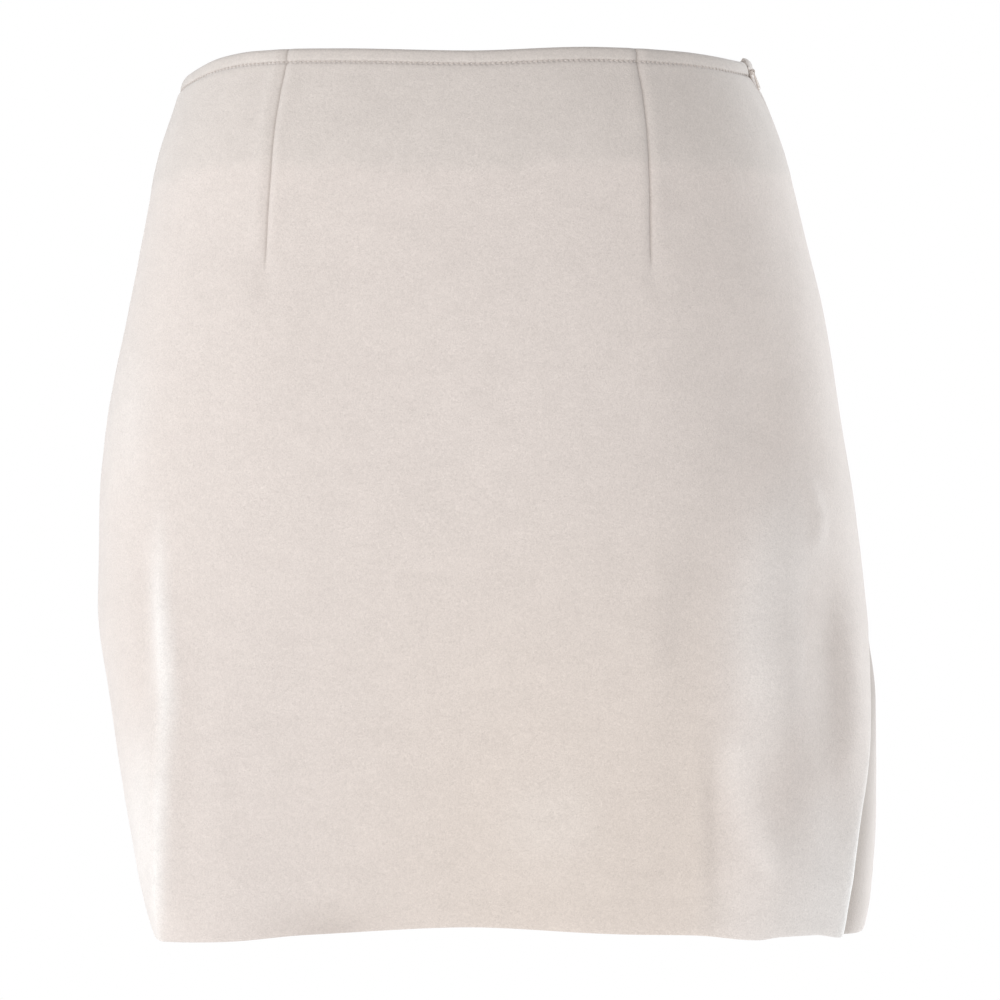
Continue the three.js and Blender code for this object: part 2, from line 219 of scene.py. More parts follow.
@dataclass(frozen=True)
class Dart:
    """A stitched line down from the waist edge, with the cloth puffed beside it and pulled in at its tip."""

    head: float
    foot: float
    length: float
    depth: float = 0.95
    puff: Ridge = Ridge(0.65, 4.2, 3.2)
    dimple: tuple[Ridge, Ridge] = (Ridge(-0.9, 1.5, 4.5), Ridge(1.0, 3.0, 9.0))
    swell: tuple[Ridge, Ridge] = (Ridge(0.55, 0.0, 11.0), Ridge(1.0, 26.0, 20.0))

    def angle(self, drop: Array) -> Array:
        """Its angle at a drop."""
        return self.head + (self.foot - self.head) * np.clip(drop / self.length, 0, 1)

    def lift(self, away: Array, drop: Array) -> Array:
        """How far it moves the cloth.

        Args:
            away: Millimetres round the skirt from its line.
            drop: Millimetres down.

        Returns:
            Millimetres outward.
        """
        below = drop - self.length
        line = self.depth * (1 - smooth(below, -12, 0)) * np.exp(-np.abs(away))
        puffed = self.puff.lift(np.abs(away)) * (1 - smooth(below, -26, 6))
        tip = sum(across.lift(away) * down.lift(below) for across, down in (self.dimple, self.swell))
        return puffed + tip - line


@dataclass(frozen=True)
class Crease:
    """A soft trough or ridge laid along (across, drop) points as seen from in front or behind.

    It reaches `width` to the left of its line and `far` times that to the right.
    """

    points: tuple[tuple[float, float], ...]
    height: float
    width: float
    taper: float = 18.0
    # The nap's colour along it: a painted highlight above 0, painted shade below 0.
    wear_and_painted_light: float = 0.0
    far: float = 1.0

    def share(self, across: Array, down: Array, width: float) -> Array:
        """How much of the crease is felt at each place.

        Args:
            across: Millimetres across, in the view.
            down: Millimetres down.
            width: How far it reaches.

        Returns:
            Values from 0 to 1.
        """
        nearest = np.full(across.shape, 1e9)
        along, reach = np.zeros(across.shape), np.full(across.shape, width)
        run = 0.0
        for (ax, ad), (bx, bd) in zip(self.points, self.points[1:]):
            ex, ed = bx - ax, bd - ad
            length = math.hypot(ex, ed)
            t = np.clip(((across - ax) * ex + (down - ad) * ed) / length**2, 0, 1)
            away = np.hypot(across - ax - t * ex, down - ad - t * ed)
            along = np.where(away < nearest, run + t * length, along)
            beyond = (across - ax - t * ex) * ed > 0
            reach = np.where(away < nearest, np.where(beyond, width * self.far, width), reach)
            nearest = np.minimum(nearest, away)
            run += length
        taper = min(self.taper, run / 2)
        ends = smooth(along, 0, taper) * smooth(run - along, 0, taper)
        return ends * np.exp(-((nearest / reach) ** 2))

    def lift(self, across: Array, down: Array) -> Array:
        """How far it moves the cloth, in millimetres outward."""
        return self.height * self.share(across, down, self.width)


@dataclass
class SkirtShape:
    """The shape that the worn skirt keeps, with its seams' and free edges' places."""

    SECTIONS = (
        Section(-6, 127.9, 127.2, 127.2, 92, 93.5, 2.2, -178.5, -12.4),
        Section(5, 129.7, 129.2, 129.2, 94, 96, 2.2, -178.5, -11),
        Section(16, 133.6, 134.4, 134.4, 97.5, 101, 2.2, -178.5, -8.8),
        Section(40, 141.4, 143.1, 143.1, 103, 110, 2.2, -178.5, -5),
        Section(75, 148.5, 151.7, 151.7, 108, 118, 2.2, -178.5, -2.4),
        Section(115, 156.3, 161.3, 161.3, 112, 124.5, 2.25, -178, -1.5),
        Section(160, 164.5, 168.6, 168.6, 114, 127, 2.3, -176.5, -1.5),
        Section(200, 168.4, 174.8, 174.8, 114.5, 127, 2.35, -176.5, -2),
        Section(245, 168.9, 179.8, 179.8, 113.5, 124, 2.5, -178, -2.5),
        Section(290, 163, 186, 182.5, 111, 119, 2.9, -178, -3),
        Section(335, 155, 186.4, 186.5, 108, 113.5, 3.6, -178, -3),
        Section(375, 145.6, 183.6, 190, 105.5, 109, 4.6, -178, -3),
        Section(402, 136.2, 178.6, 190, 104, 106, 5.2, -178, -3),
    )
    SLIT_EDGE = ((257, 289, 335, 375, 397), (0, 5.5, 15.2, 20.5, 22))

    square_waist: float = 2.2
    square_hem: float = 2.45
    square_freed: float = 0.8
    seam_gap: float = 0.04
    notch_gap: float = 2.2
    tape_half: float = 12.0
    slit_top: float = 257.0
    slit_length: float = 140.0
    tucked: float = 6.0
    turn_start: float = 0.26
    turn_end: float = 0.07
    turn_round: float = 8.0
    eye_across: float = 13.6
    eye_drop: float = 197.3
    eye_away: float = 2200.0

    def __post_init__(self) -> None:
        """Makes a curve of each column."""
        drops = [row.drop for row in self.SECTIONS]
        self.column = {
            name: Curve(drops, [getattr(row, name) for row in self.SECTIONS])
            for name in Section.__dataclass_fields__
            if name != "drop"
        }
        self.lean = Curve(*self.SLIT_EDGE)

    def half_gap(self, gap: Array | float, drop: Array) -> Array:
        """Half a gap at the seam at the wearer's left, in degrees."""
        return np.degrees(gap / 2 / self.column["right"](drop))

    def notch(self, drop: Array) -> Array:
        """The gap in that seam, which the zip slider's neck holds open at its top."""
        return self.notch_gap + (self.seam_gap - self.notch_gap) * smooth(drop, 12, 18)

    def tape_side(self, drop: Array) -> Array:
        """Half the zip tape's width, in degrees."""
        return np.degrees(self.tape_half / self.column["right"](drop))

    def front_free_edge(self, drop: Array) -> Array:
        """Where the front ends at the zip and, below it, at the slit."""
        return self.column["seam_right"](drop) - self.lean(drop) - self.half_gap(self.notch(drop), drop)

    def back_free_edge(self, drop: Array) -> Array:
        """Where the back ends there, behind the front's edge."""
        behind = self.tucked * smooth(drop, 266, 320) - self.half_gap(self.notch(drop), drop)
        return self.column["seam_right"](drop) - self.lean(drop) - behind

    def turn_in(self, angle: Array, radius: Array, drop: Array) -> Array:
        """How the back's free edge turns in behind the front below the top of the slit.

        Args:
            angle: Degrees round the skirt.
            radius: The plain distance from the origin.
            drop: Millimetres down.

        Returns:
            Millimetres outward, below zero.
        """
        past = np.radians(np.maximum(0, 3 - angle)) * radius
        down = np.clip((drop - self.slit_top) / self.slit_length, 0, 1)
        slope = self.turn_start + (self.turn_end - self.turn_start) * down
        free = smooth(drop, self.slit_top - 5, self.slit_top + 15)
        return -free * slope * (np.hypot(past, self.turn_round) - self.turn_round)

    def plan(self, right: str, angle: Array, drop: Array) -> Array:
        """The plain outline's distance from the origin.

        Args:
            right: The column that holds the reach at the wearer's left.
            angle: Degrees round the skirt.
            drop: Millimetres down.

        Returns:
            Millimetres.
        """
        c, s = np.cos(np.radians(angle)), np.sin(np.radians(angle))
        even = self.square_waist + (self.square_hem - self.square_waist) * np.clip(drop / FOOT, 0, 1)
        freed = even + self.square_freed * smooth(drop, 230, 370)
        square = np.where(s >= 0, even, np.where(c < 0, self.column["corner"](drop), freed))
        across = np.where(c < 0, self.column["left"](drop), self.column[right](drop))
        through = np.where(s < 0, self.column["front"](drop), self.column["back"](drop))
        return ((np.abs(c) / across) ** square + (np.abs(s) / through) ** square) ** (-1 / square)

    def seen(self, angle: Array, radius: Array, drop: Array) -> tuple[Array, Array]:
        """Places as they are seen from in front or behind, brought onto the skirt's middle plane.

        Args:
            angle: Degrees round the skirt.
            radius: Millimetres from the origin.
            drop: Millimetres down.

        Returns:
            Millimetres across and down.
        """
        x, y = radius * np.cos(np.radians(angle)), radius * np.sin(np.radians(angle))
        nearer = self.eye_away / (self.eye_away - np.abs(y))
        across = self.eye_across + (x - self.eye_across) * nearer
        return across, self.eye_drop + (drop - self.eye_drop) * nearer


@dataclass
class Panel:
    """One panel of cloth: its lines from waist to hem, its folds, darts and creases, and its edges."""

    name: str
    node: str
    right: str
    turns_in: bool
    zip_at_start: bool
    folds: tuple[Fold, ...]
    darts: tuple[Dart, ...]
    creases: tuple[Crease, ...]
    lines: tuple[tuple[Line, End], ...]
    heights: tuple[Sizes, ...]
    seed: float
    flat: tuple[float, float]
    area: float

    def waist(self, angle: Array) -> Array:
        """The waist edge's height."""
        return Curve([h[0] for h in self.heights], [h[1] for h in self.heights])(angle)

    def hem(self, angle: Array) -> Array:
        """The hem's height."""
        return Curve([h[0] for h in self.heights], [h[2] for h in self.heights])(angle)

    def angle(self, place: Array, drop: Array) -> Array:
        """The angle of a place across the panel.

        Args:
            place: Where it is, in whole numbers at the lines.
            drop: Millimetres down.

        Returns:
            Degrees round the skirt.
        """
        i = np.minimum(place.astype(int), len(self.lines) - 2)
        at = np.stack([line(drop) for line, _ in self.lines])
        first = np.take_along_axis(at, i[None], 0)[0]
        second = np.take_along_axis(at, i[None] + 1, 0)[0]
        return first + (second - first) * (place - i)


@dataclass
class Grid:
    """A panel's places by column and row, with how far below the waist edge and above the hem they are.

    radius is the outer face's distance from the origin, without the fine relief.
    """

    angle: Array
    drop: Array
    below: Array
    above: Array
    radius: Array


@dataclass
class SkirtCloth:
    """Cuts, shapes and dresses the front and the back of the skirt."""

    UNEVEN = ((52.0, 0.55), (21.0, 0.26), (9.0, 0.09))
    SPREAD_DROPS = (50.0, 240.0, 390.0)
    TOP_ROWS = (0.0, 0.35, 0.8, 1.4, 2.2, 3.2, 4.2, 4.9, 5.4, 5.8, 6.2, 6.7, 7.4, 8.6, 10.4)
    LOW_ROWS = (3.4, 2.0, 1.0, 0.4, 0.0)
    ROWS = 136

    shape: SkirtShape
    single: float = 1.5
    turned: float = 2.6
    band: float = 6.0
    facing: float = 52.0
    hem_turn: float = 25.0
    pitch: float = 2.3
    step: float = 2.9
    stitch: Sizes = (0.86, 0.27, 0.24)
    stitch_out: float = 0.1
    tack: Sizes = (0.95, 0.3, 0.3)
    tack_out: float = 0.28
    tacks: int = 4
    tack_start: float = 3.4
    tack_pitch: float = 1.1
    waist_roll: float = 0.42
    waist_wear: float = 0.75
    waist_worn: float = 1.4
    waist_lines: tuple[Ridge, Ridge] = (Ridge(-0.6, band, 0.75), Ridge(0.22, 9.0, 2.6))
    facing_step: float = 0.28
    hem_line: Ridge = Ridge(0.16, hem_turn, 3.0)
    hem_curl: float = 0.8
    hem_reach: float = 5.0
    hem_wear: float = 0.35
    hem_worn: float = 1.2
    seam_puff: Ridge = Ridge(0.35, 4.2, 3.0)
    seam_sink: float = 0.7
    edge_reach: float = 1.1
    free_sink_front: float = 1.3
    free_sink_back: float = 0.3
    # Painted highlights: on the rim of the front's free edge and on the flap beside it.
    rim_painted_highlight: float = 1.2
    flap_painted_highlight: float = 0.5
    dart_pressed: float = 0.55
    tack_mark: tuple[Ridge, Ridge] = (Ridge(0.9, 5.5, 3.6), Ridge(1.0, 6.2, 0.75))
    hem_layer: float = 0.7
    dart_layer: float = 0.8
    seam_layer: float = 0.6
    dart_turning: float = 9.0
    seam_turning: float = 10.0
    front_cut: tuple[float, float] = (0.465, 0.42)
    front_area: float = 0.166
    back_cut: tuple[float, float] = (0.552, 0.43)
    back_area: float = 0.196

    def __post_init__(self) -> None:
        """Lays out both panels."""
        self.front = self._front()
        self.back = self._back()

    def _front(self) -> Panel:
        """The front, cut in one, with two darts.

        Returns:
            The panel.
        """
        shape = self.shape
        corner = Fold(-149.5, -148, 205, 330, 420, 430, 5, 20, 1.5)
        swell = Fold(-29, -39, 190, 290, 420, 430, 5.5, 14, 10)
        left, right = Dart(-136.5, -133.8, 98), Dart(-47.1, -51.2, 98)
        # A crease's fifth number paints light into the nap's colour: a painted highlight above 0, painted
        # shade below 0. The ones of height 0 only paint: highlights on the lit left side, shade beside the
        # slit's flap.
        creases = (
            Crease(
                ((-141, 186), (-140.6, 236), (-138.6, 270), (-137.4, 290), (-138.6, 307), (-140, 326),
                 (-140.8, 356)), 1.7, 4.4, 80, 0.6, 0.6,
            ),
            Crease(((-139.8, 306), (-140.9, 346), (-141.8, 376), (-142, 412)), 1.3, 3.0, 36, 0.4, 0.6),
            Crease(((-152, 280), (-150, 350), (-146, 416)), 0.0, 8, 70, 0.42),
            Crease(((-152, 108), (-158, 170), (-158, 214)), 0.0, 9, 50, 0.16),
            Crease(((-149.5, 205), (-148.5, 250), (-149, 305)), -1.1, 3.6, 30),
            Crease(((-126, 236), (-125, 290), (-127, 345), (-129, 408)), -1.3, 8, 50),
            Crease(((155, 168), (138, 208), (129, 256), (133, 300), (134, 340)), 3.0, 10, 66, 0.3, 2.4),
            Crease(((161, 212), (160, 262), (158, 304), (151, 344)), 0.0, 9, 44, -0.24),
            Crease(((121, 296), (122, 322), (130, 350), (143, 378)), 1.7, 5, 20, 0.16, 2.0),
            Crease(((134, 180), (111, 222), (101, 262), (104, 304)), -2.4, 13, 60),
            Crease(((170, 226), (172, 286), (168, 352)), 2.8, 9, 50),
            Crease(((115, 284), (117, 320), (118, 360), (118, 416)), -4.2, 8.5, 50),
            Crease(((140, 118), (132, 150), (127, 196)), -1.1, 10, 34),
            Crease(((152, 184), (159, 205), (156, 224)), 1.1, 3.6, 12),
            Crease(((92, 200), (84, 250), (86, 300)), 0.7, 9, 40),
            Crease(((20, 345), (38, 349), (52, 343)), 0.5, 3.2, 10),
            Crease(((-112, 402), (-72, 396), (-24, 391)), -1.2, 11, 44, -0.34),
            Crease(((4, 332), (34, 344), (70, 340)), 0.9, 20, 30, 0.1),
            Crease(((-78, 178.5), (-30, 177.2), (8, 178.4)), -0.45, 1.6, 44),
            Crease(((-70, 232.4), (10, 231), (78, 233.2)), -0.28, 1.6, 60),
            Crease(((-160, 146), (-163.5, 168), (-161, 194)), 0.7, 3, 12),
            Crease(((-108, 130), (-118, 160), (-121, 200)), -0.5, 10, 36),
        )
        lines = (
            (lambda d: shape.column["seam_left"](d) + shape.half_gap(shape.seam_gap, d), End.EDGE),
            (corner.angle, End.CREST),
            (left.angle, End.DART),
            (right.angle, End.DART),
            (swell.angle, End.PLAIN),
            (lambda d: shape.front_free_edge(d) - shape.tape_side(d), End.PLAIN),
            (shape.front_free_edge, End.EDGE),
        )
        heights = (
            (-180, -6, -394), (-167, -4, -393), (-154, 0.4, -391.8), (-145, 1.7, -391.2),
            (-137, 1.7, -390.2), (-125, 1.2, -386.9), (-90, -0.5, -383.4), (-55, 1.8, -386.8),
            (-45, 1.7, -387.4), (-38, 1.5, -389.6), (-35, 1.4, -388.6), (-30, 1, -388.4),
            (-26, 0.6, -390.2), (-18, 0, -391.6), (-8, 0, -393),
        )
        folds = (
            corner,
            swell,
            Fold(-46, -47, 250, 350, 420, 430, -4, 12, 10),
            Fold(-19, -27, 200, 265, 330, 395, -4.5, 12, 12),
            Fold(-36, -36, 90, 150, 190, 260, -2.2, 18, 16),
        )
        return Panel(
            "front_cloth", "front_panel", "right_front", False, False, folds, (left, right), creases, lines,
            heights, 3.1, self.front_cut, self.front_area,
        )

    def _back(self) -> Panel:
        """The back, cut in one, with two darts, which runs on under the front at the slit.

        Returns:
            The panel.
        """
        shape = self.shape
        right, left = Dart(52, 56, 122), Dart(128, 124, 122)
        creases = (
            Crease(((-60, 205), (-52, 262), (-58, 330), (-54, 402)), -1.5, 10, 60),
            Crease(((66, 210), (60, 270), (67, 336), (63, 402)), -1.7, 9, 60),
            Crease(((-88, 236), (-95, 300), (-98, 380)), 1.3, 7, 40),
            Crease(((92, 228), (101, 288), (100, 352)), 1.4, 8, 36),
            Crease(((-34, 176), (4, 184), (40, 175)), 0.9, 7, 26),
            Crease(((-48, 190), (2, 199), (52, 189)), -1.0, 6, 30),
            Crease(((-30, 211), (6, 217), (36, 210)), 0.6, 5, 22),
            Crease(((-140, 240), (-139, 300), (-133, 372)), -1.2, 7, 36),
            Crease(((141, 120), (134, 160), (132, 214)), -0.9, 9, 40),
            Crease(((-24, 60), (-20, 118), (-26, 160)), -0.5, 9, 30),
            Crease(((-70, 232), (8, 230.6), (80, 233)), -0.28, 1.6, 60),
        )
        lines = (
            (shape.back_free_edge, End.EDGE),
            (lambda d: shape.back_free_edge(d) + shape.tape_side(d), End.PLAIN),
            (right.angle, End.DART),
            (left.angle, End.DART),
            (lambda d: shape.column["seam_left"](d) + 360 - shape.half_gap(shape.seam_gap, d), End.EDGE),
        )
        heights = (
            (-30, 2, -387.2), (-22, 2.2, -390), (-6, 2.4, -392.2), (12, 1.6, -393.4), (90, 0, -396),
            (165, -3, -394.5), (182, -6, -394),
        )
        folds = (
            Fold(52, 46, 185, 310, 420, 430, 5, 16, 12),
            Fold(68, 66, 210, 330, 420, 430, -3.5, 16, 14),
            Fold(124, 131, 195, 320, 420, 430, 4.5, 18, 12),
            Fold(108, 111, 215, 340, 420, 430, -3, 16, 14),
        )
        return Panel(
            "back_cloth", "back_panel", "right", True, True, folds, (right, left), creases, lines,
            heights, 8.7, self.back_cut, self.back_area,
        )

    def radius(self, panel: Panel, angle: Array, drop: Array) -> Array:
        """The outer face's distance from the origin, with folds and darts and without the fine relief.

        Args:
            panel: Front or back.
            angle: Degrees round the skirt.
            drop: Millimetres down.

        Returns:
            Millimetres.
        """
        plan = self.shape.plan(panel.right, angle, drop)
        radius = plan.copy()
        for crest in (*panel.folds, *panel.darts):
            radius += crest.lift(arc(angle - crest.angle(drop), plan), drop)
        if panel.turns_in:
            radius += self.shape.turn_in(angle, plan, drop)
        return radius

    @staticmethod
    def point(radius: Array, angle: Array, drop: Array) -> Array:
        """Points in millimetres, from distances, angles and drops."""
        return np.stack([radius * np.cos(np.radians(angle)), radius * np.sin(np.radians(angle)), -drop], -1)

    def outward(self, panel: Panel, angle: Array, drop: Array) -> Array:
        """The outward direction on the outer face.

        Args:
            panel: Front or back.
            angle: Degrees round the skirt.
            drop: Millimetres down.

        Returns:
            Directions of length 1.
        """
        def on(a: Array, d: Array) -> Array:
            """A point there."""
            return self.point(self.radius(panel, a, d), a, d)

        across = on(angle + 0.25, drop) - on(angle - 0.25, drop)
        down = on(angle, drop + 0.5) - on(angle, drop - 0.5)
        out = np.cross(down, across)
        return out / np.linalg.norm(out, axis=-1, keepdims=True)

    def columns(self, panel: Panel) -> Array:
        """Places across a panel, close together beside its edges, darts and crests.

        Args:
            panel: Front or back.

        Returns:
            Places, in whole numbers at the panel's lines.
        """
        def stretch(i: int, drop: float) -> float:
            """How long the stretch after line i is at a drop."""
            start, end = (float(panel.lines[k][0](drop)) for k in (i, i + 1))
            return float(arc(end - start, self.shape.plan(panel.right, (start + end) / 2, drop)))

        places = [0.0]
        for i in range(len(panel.lines) - 1):
            near, hip, low = (stretch(i, drop) for drop in self.SPREAD_DROPS)
            head = [a / near for a in panel.lines[i][1].value if a < near / 2.2]
            tail = [1 - a / near for a in panel.lines[i + 1][1].value if a < near / 2.2]
            start, end = (head[-1] if head else 0.0), (min(tail) if tail else 1.0)
            count = max(1, round(max(near, hip, low) * (end - start) / self.step))
            even = [start + (end - start) * k / count for k in range(1, count)]
            places += [i + share for share in sorted({*head, *even, *tail, 1.0})]
        return np.array(places)

    def relief(self, panel: Panel, at: Grid) -> Array:
        """The cloth's fine relief.

        Args:
            panel: Front or back.
            at: Its grid.

        Returns:
            Millimetres outward.
        """
        drop, below, above = at.drop, at.below, at.above
        lift = self.waist_roll * np.sin(np.pi * np.clip(below / self.band, 0, 1)) ** 0.8
        lift -= self.waist_wear * np.clip(1 - below / self.waist_worn, 0, 1) ** 2
        lift += sum(ridge.lift(below) for ridge in self.waist_lines)
        lift += self.facing_step * (1 - smooth(below, self.facing - 2.4, self.facing + 1.6))
        lift += self.hem_line.lift(above) - self.hem_curl * np.exp(-above / self.hem_reach)
        lift -= self.hem_wear * np.clip(1 - above / self.hem_worn, 0, 1) ** 2
        first, last = panel.lines[0][0](drop), panel.lines[-1][0](drop)
        zipped = 1 - smooth(drop, self.shape.slit_top - 6, self.shape.slit_top + 4)
        free_sink = self.free_sink_back if panel.turns_in else self.free_sink_front
        for past, is_start in ((at.angle - first, True), (last - at.angle, False)):
            away = arc(past, at.radius)
            sewn = zipped if is_start == panel.zip_at_start else 1.0
            sink = self.seam_sink * sewn + free_sink * (1 - sewn)
            lift += sewn * self.seam_puff.lift(away) - sink * np.exp(-away / self.edge_reach)
        across, down = self.shape.seen(at.angle, at.radius, drop)
        for crease in panel.creases:
            lift += crease.lift(across, down)
        return lift + self._uneven(panel, at)

    def wear_and_painted_light(self, panel: Panel, at: Grid) -> Array:
        """Painted light and shade in the nap's colour, with the dark dart lines and tack marks: painted
        highlight on crests, the lit left side and the front's free edge, painted shade on the back under
        that edge and in some troughs.

        Args:
            panel: Front or back.
            at: Its grid.

        Returns:
            Values from -1, darkest (painted shade, dart lines, tack marks), to 1, lightest (painted
            highlight).
        """
        shape, drop = self.shape, at.drop
        across, down = shape.seen(at.angle, at.radius, drop)
        total = np.zeros(drop.shape)
        # Each crease's painted highlight or painted shade.
        for crease in panel.creases:
            if crease.wear_and_painted_light:
                total += crease.wear_and_painted_light * crease.share(across, down, crease.width + 0.8)
        slit = smooth(drop, shape.slit_top - 8, shape.slit_top + 6)
        edge = arc(shape.front_free_edge(drop) - at.angle, at.radius)
        if panel.turns_in:
            # Painted shadow on the back's nap under the front's free edge.
            total -= slit * (1 - smooth(-edge, 8, 60))
        else:
            round_it, down_it = self.tack_mark
            # Painted highlights on the flap beside the front's free edge and on that edge's rim.
            total += self.flap_painted_highlight * smooth(drop, 296, 380) * (1 - smooth(edge, 8, 62))
            total += self.rim_painted_highlight * slit * np.exp(-edge / 1.8)
            total -= round_it.lift(edge) * down_it.lift(at.below)
        for dart in panel.darts:
            away = arc(at.angle - dart.angle(drop), at.radius)
            sewn = 1 - smooth(drop, dart.length - 8, dart.length)
            total -= self.dart_pressed * bump(away, 0.0, 0.5) * sewn
        return np.clip(total, -1, 1)

    def _uneven(self, panel: Panel, at: Grid) -> Array:
        """The slight unevenness of worn cloth, calmer by the stitched waist edge.

        Args:
            panel: Front or back.
            at: Its grid.

        Returns:
            Millimetres outward.
        """
        flat = self.point(at.radius, at.angle, at.drop).reshape(-1, 3)
        total = np.zeros(len(flat))
        for size, height in self.UNEVEN:
            scaled = flat / (size, size, size * 1.35) + panel.seed
            total += height * np.array([noise.noise(Vector(p)) for p in scaled])
        return (0.25 + 0.75 * smooth(at.below, 4, 40)) * total.reshape(at.below.shape)

    def thickness(self, panel: Panel, at: Grid) -> Array:
        """How thick the cloth is: more at its turned edges, seam turnings and dart folds on the inside.

        Args:
            panel: Front or back.
            at: Its grid.

        Returns:
            Millimetres.
        """
        drop, below = at.drop, at.below
        layers = [
            (self.turned - self.single) * (1 - smooth(below, 6.8, 7.8)),
            self.hem_layer * (1 - smooth(at.above, self.hem_turn - 0.8, self.hem_turn + 0.8)),
        ]
        for dart in panel.darts:
            away = arc(at.angle - dart.angle(drop), at.radius)
            width = self.dart_turning * (1 - np.clip(drop / dart.length, 0, 1)) + 1
            folded = smooth(away, -0.6, 0.6) * (1 - smooth(away, width, width + 1)) * smooth(below, 7.5, 9)
            layers.append(self.dart_layer * folded * (1 - smooth(drop, dart.length - 6, dart.length)))
        first, last = panel.lines[0][0](drop), panel.lines[-1][0](drop)
        past = last - at.angle if panel.zip_at_start else at.angle - first
        turned = 1 - smooth(arc(past, at.radius), self.seam_turning, self.seam_turning + 1)
        layers.append(self.seam_layer * turned)
        return self.single + np.max(layers, 0)

    def grid(self, panel: Panel) -> tuple[Grid, Array]:
        """Lays out a panel.

        Args:
            panel: Front or back.

        Returns:
            Its grid, and the finished outer face's points in millimetres.
        """
        places = self.columns(panel)
        top = -panel.waist(panel.angle(places, np.zeros(len(places))))
        foot = -panel.hem(panel.angle(places, np.full(len(places), FOOT)))
        head = top[:, None] + np.array(self.TOP_ROWS)
        tail = foot[:, None] - np.array(self.LOW_ROWS)
        share = np.arange(1, self.ROWS) / self.ROWS
        middle = head[:, -1:] + (tail[:, :1] - head[:, -1:]) * share
        drop = np.concatenate([head, middle, tail], 1)
        angle = panel.angle(np.repeat(places[:, None], drop.shape[1], 1), drop)
        below, above = drop - top[:, None], foot[:, None] - drop
        at = Grid(angle, drop, below, above, self.radius(panel, angle, drop))
        return at, self.point(at.radius + self.relief(panel, at), angle, drop)

    def seam_row(self, at: Grid) -> int:
        """The row of places that the topstitching follows."""
        return int(np.argmin(np.abs(at.below[0] - self.band)))

    def build(self, panel: Panel, outside: Material, inside: Material) -> Object:
        """Makes one panel as a thin shell.

        Args:
            panel: Front or back.
            outside: The napped side's finish.
            inside: The wrong side's finish.

        Returns:
            The panel, riding on the skirt.
        """
        at, points = self.grid(panel)
        thick = self.thickness(panel, at) / self.turned
        run = running(points[:, self.seam_row(at)])
        chart = np.stack([np.broadcast_to(run[:, None], at.below.shape), -at.below], -1) * MM
        mesh = sheet_mesh(panel.name, points * MM, thick, chart, self.wear_and_painted_light(panel, at))
        piece = dress(panel.name, mesh, Body.SKIRT, [outside, inside], [panel.node])
        wall = thicken(piece, self.turned)
        wall.material_offset, wall.material_offset_rim = 1, 0
        rim = piece.modifiers.new("soft rim", "BEVEL")
        rim.width, rim.segments, rim.limit_method, rim.angle_limit = 0.4 * MM, 2, "ANGLE", math.radians(70)
        LOG.info("%s: %d columns, %d rows", panel.name, *at.drop.shape)
        return piece

    def stitches(self, finish: Material) -> Object:
        """Sews the row of topstitching round the waist edge, ended by a back stitch beside the zip.

        Args:
            finish: The thread.

        Returns:
            The stitches, riding on the skirt.
        """
        made = bmesh.new()
        for panel in (self.front, self.back):
            at, points = self.grid(panel)
            row = self.seam_row(at)
            line, run = points[:, row], running(points[:, row])
            out = self.outward(panel, at.angle[:, row], at.drop[:, row])

            def read(values: Array, place: float) -> Vector:
                """A value at a place along the row."""
                return Vector([np.interp(place, run, values[:, n]) for n in range(3)])

            even = np.arange(0.5 * self.pitch, run[-1] - 1.0, self.pitch)
            sewn = [(place, self.stitch, self.stitch_out) for place in even]
            if panel is self.front:
                starts = run[-1] - self.tack_start
                sewn += [(starts - self.tack_pitch * k, self.tack, self.tack_out) for k in range(self.tacks)]
            for place, size, raised in sewn:
                middle, normal = read(line, place), read(out, place).normalized()
                along = (read(line, place + 1) - middle).normalized()
                turn = Matrix((along, normal.cross(along), normal)).transposed().to_4x4()
                stretch = Matrix.Diagonal((*size, 1))
                matrix = Matrix.Scale(MM, 4) @ Matrix.Translation(middle + normal * raised) @ turn @ stretch
                bmesh.ops.create_uvsphere(made, u_segments=6, v_segments=4, radius=1.0, matrix=matrix)
        mesh = smooth_mesh(made, "waist_stitches")
        return dress("waist_stitches", mesh, Body.SKIRT, [finish], [])


def running(line: Array) -> Array:
    """The length run at each point of a line."""
    return np.concatenate([[0], np.cumsum(np.linalg.norm(np.diff(line, axis=0), axis=1))])


def smooth_mesh(made: BMesh, name: str) -> Mesh:
    """Turns finished working geometry into a smooth mesh.

    Args:
        made: The working geometry, which is given up.
        name: The mesh's name.

    Returns:
        The mesh.
    """
    mesh = bpy.data.meshes.new(name)
    made.to_mesh(mesh)
    made.free()
    mesh.shade_smooth()
    return mesh


def sheet_mesh(name: str, points: Array, thick: Array, chart: Array, wear_and_painted_light: Array | None = None) -> Mesh:
    """Meshes a grid of points as one sheet.

    Args:
        name: The mesh's name.
        points: Points in metres, by column and row.
        thick: The share of the full thickness at each.
        chart: Places on the flat cloth at each, in metres.
        wear_and_painted_light: The painted light and shade of the nap's colour at each, with the dark dart
            lines and tack marks, if it has one.

    Returns:
        The mesh, with the thickness as weights.
    """
    across, down = (count - 1 for count in thick.shape)
    made = bmesh.new()
    bmesh.ops.create_grid(made, x_segments=across, y_segments=down, size=1.0)
    weights = made.verts.layers.deform.verify()
    # The float layer holds painted light and shade for the nap's colour.
    nap = made.verts.layers.float.new("wear_and_painted_light") if wear_and_painted_light is not None else None
    flat = made.loops.layers.uv.new("cloth")
    spot = {}
    for vert in made.verts:
        at = (round((vert.co.x + 1) / 2 * across), round((1 - vert.co.y) / 2 * down))
        spot[vert.index] = at
        vert.co = Vector(points[at])
        vert[weights][0] = float(min(1.0, thick[at]))
        if nap is not None:
            vert[nap] = float(wear_and_painted_light[at])
    for face in made.faces:
        for loop in face.loops:
            loop[flat].uv = chart[spot[loop.vert.index]]
    return smooth_mesh(made, name)


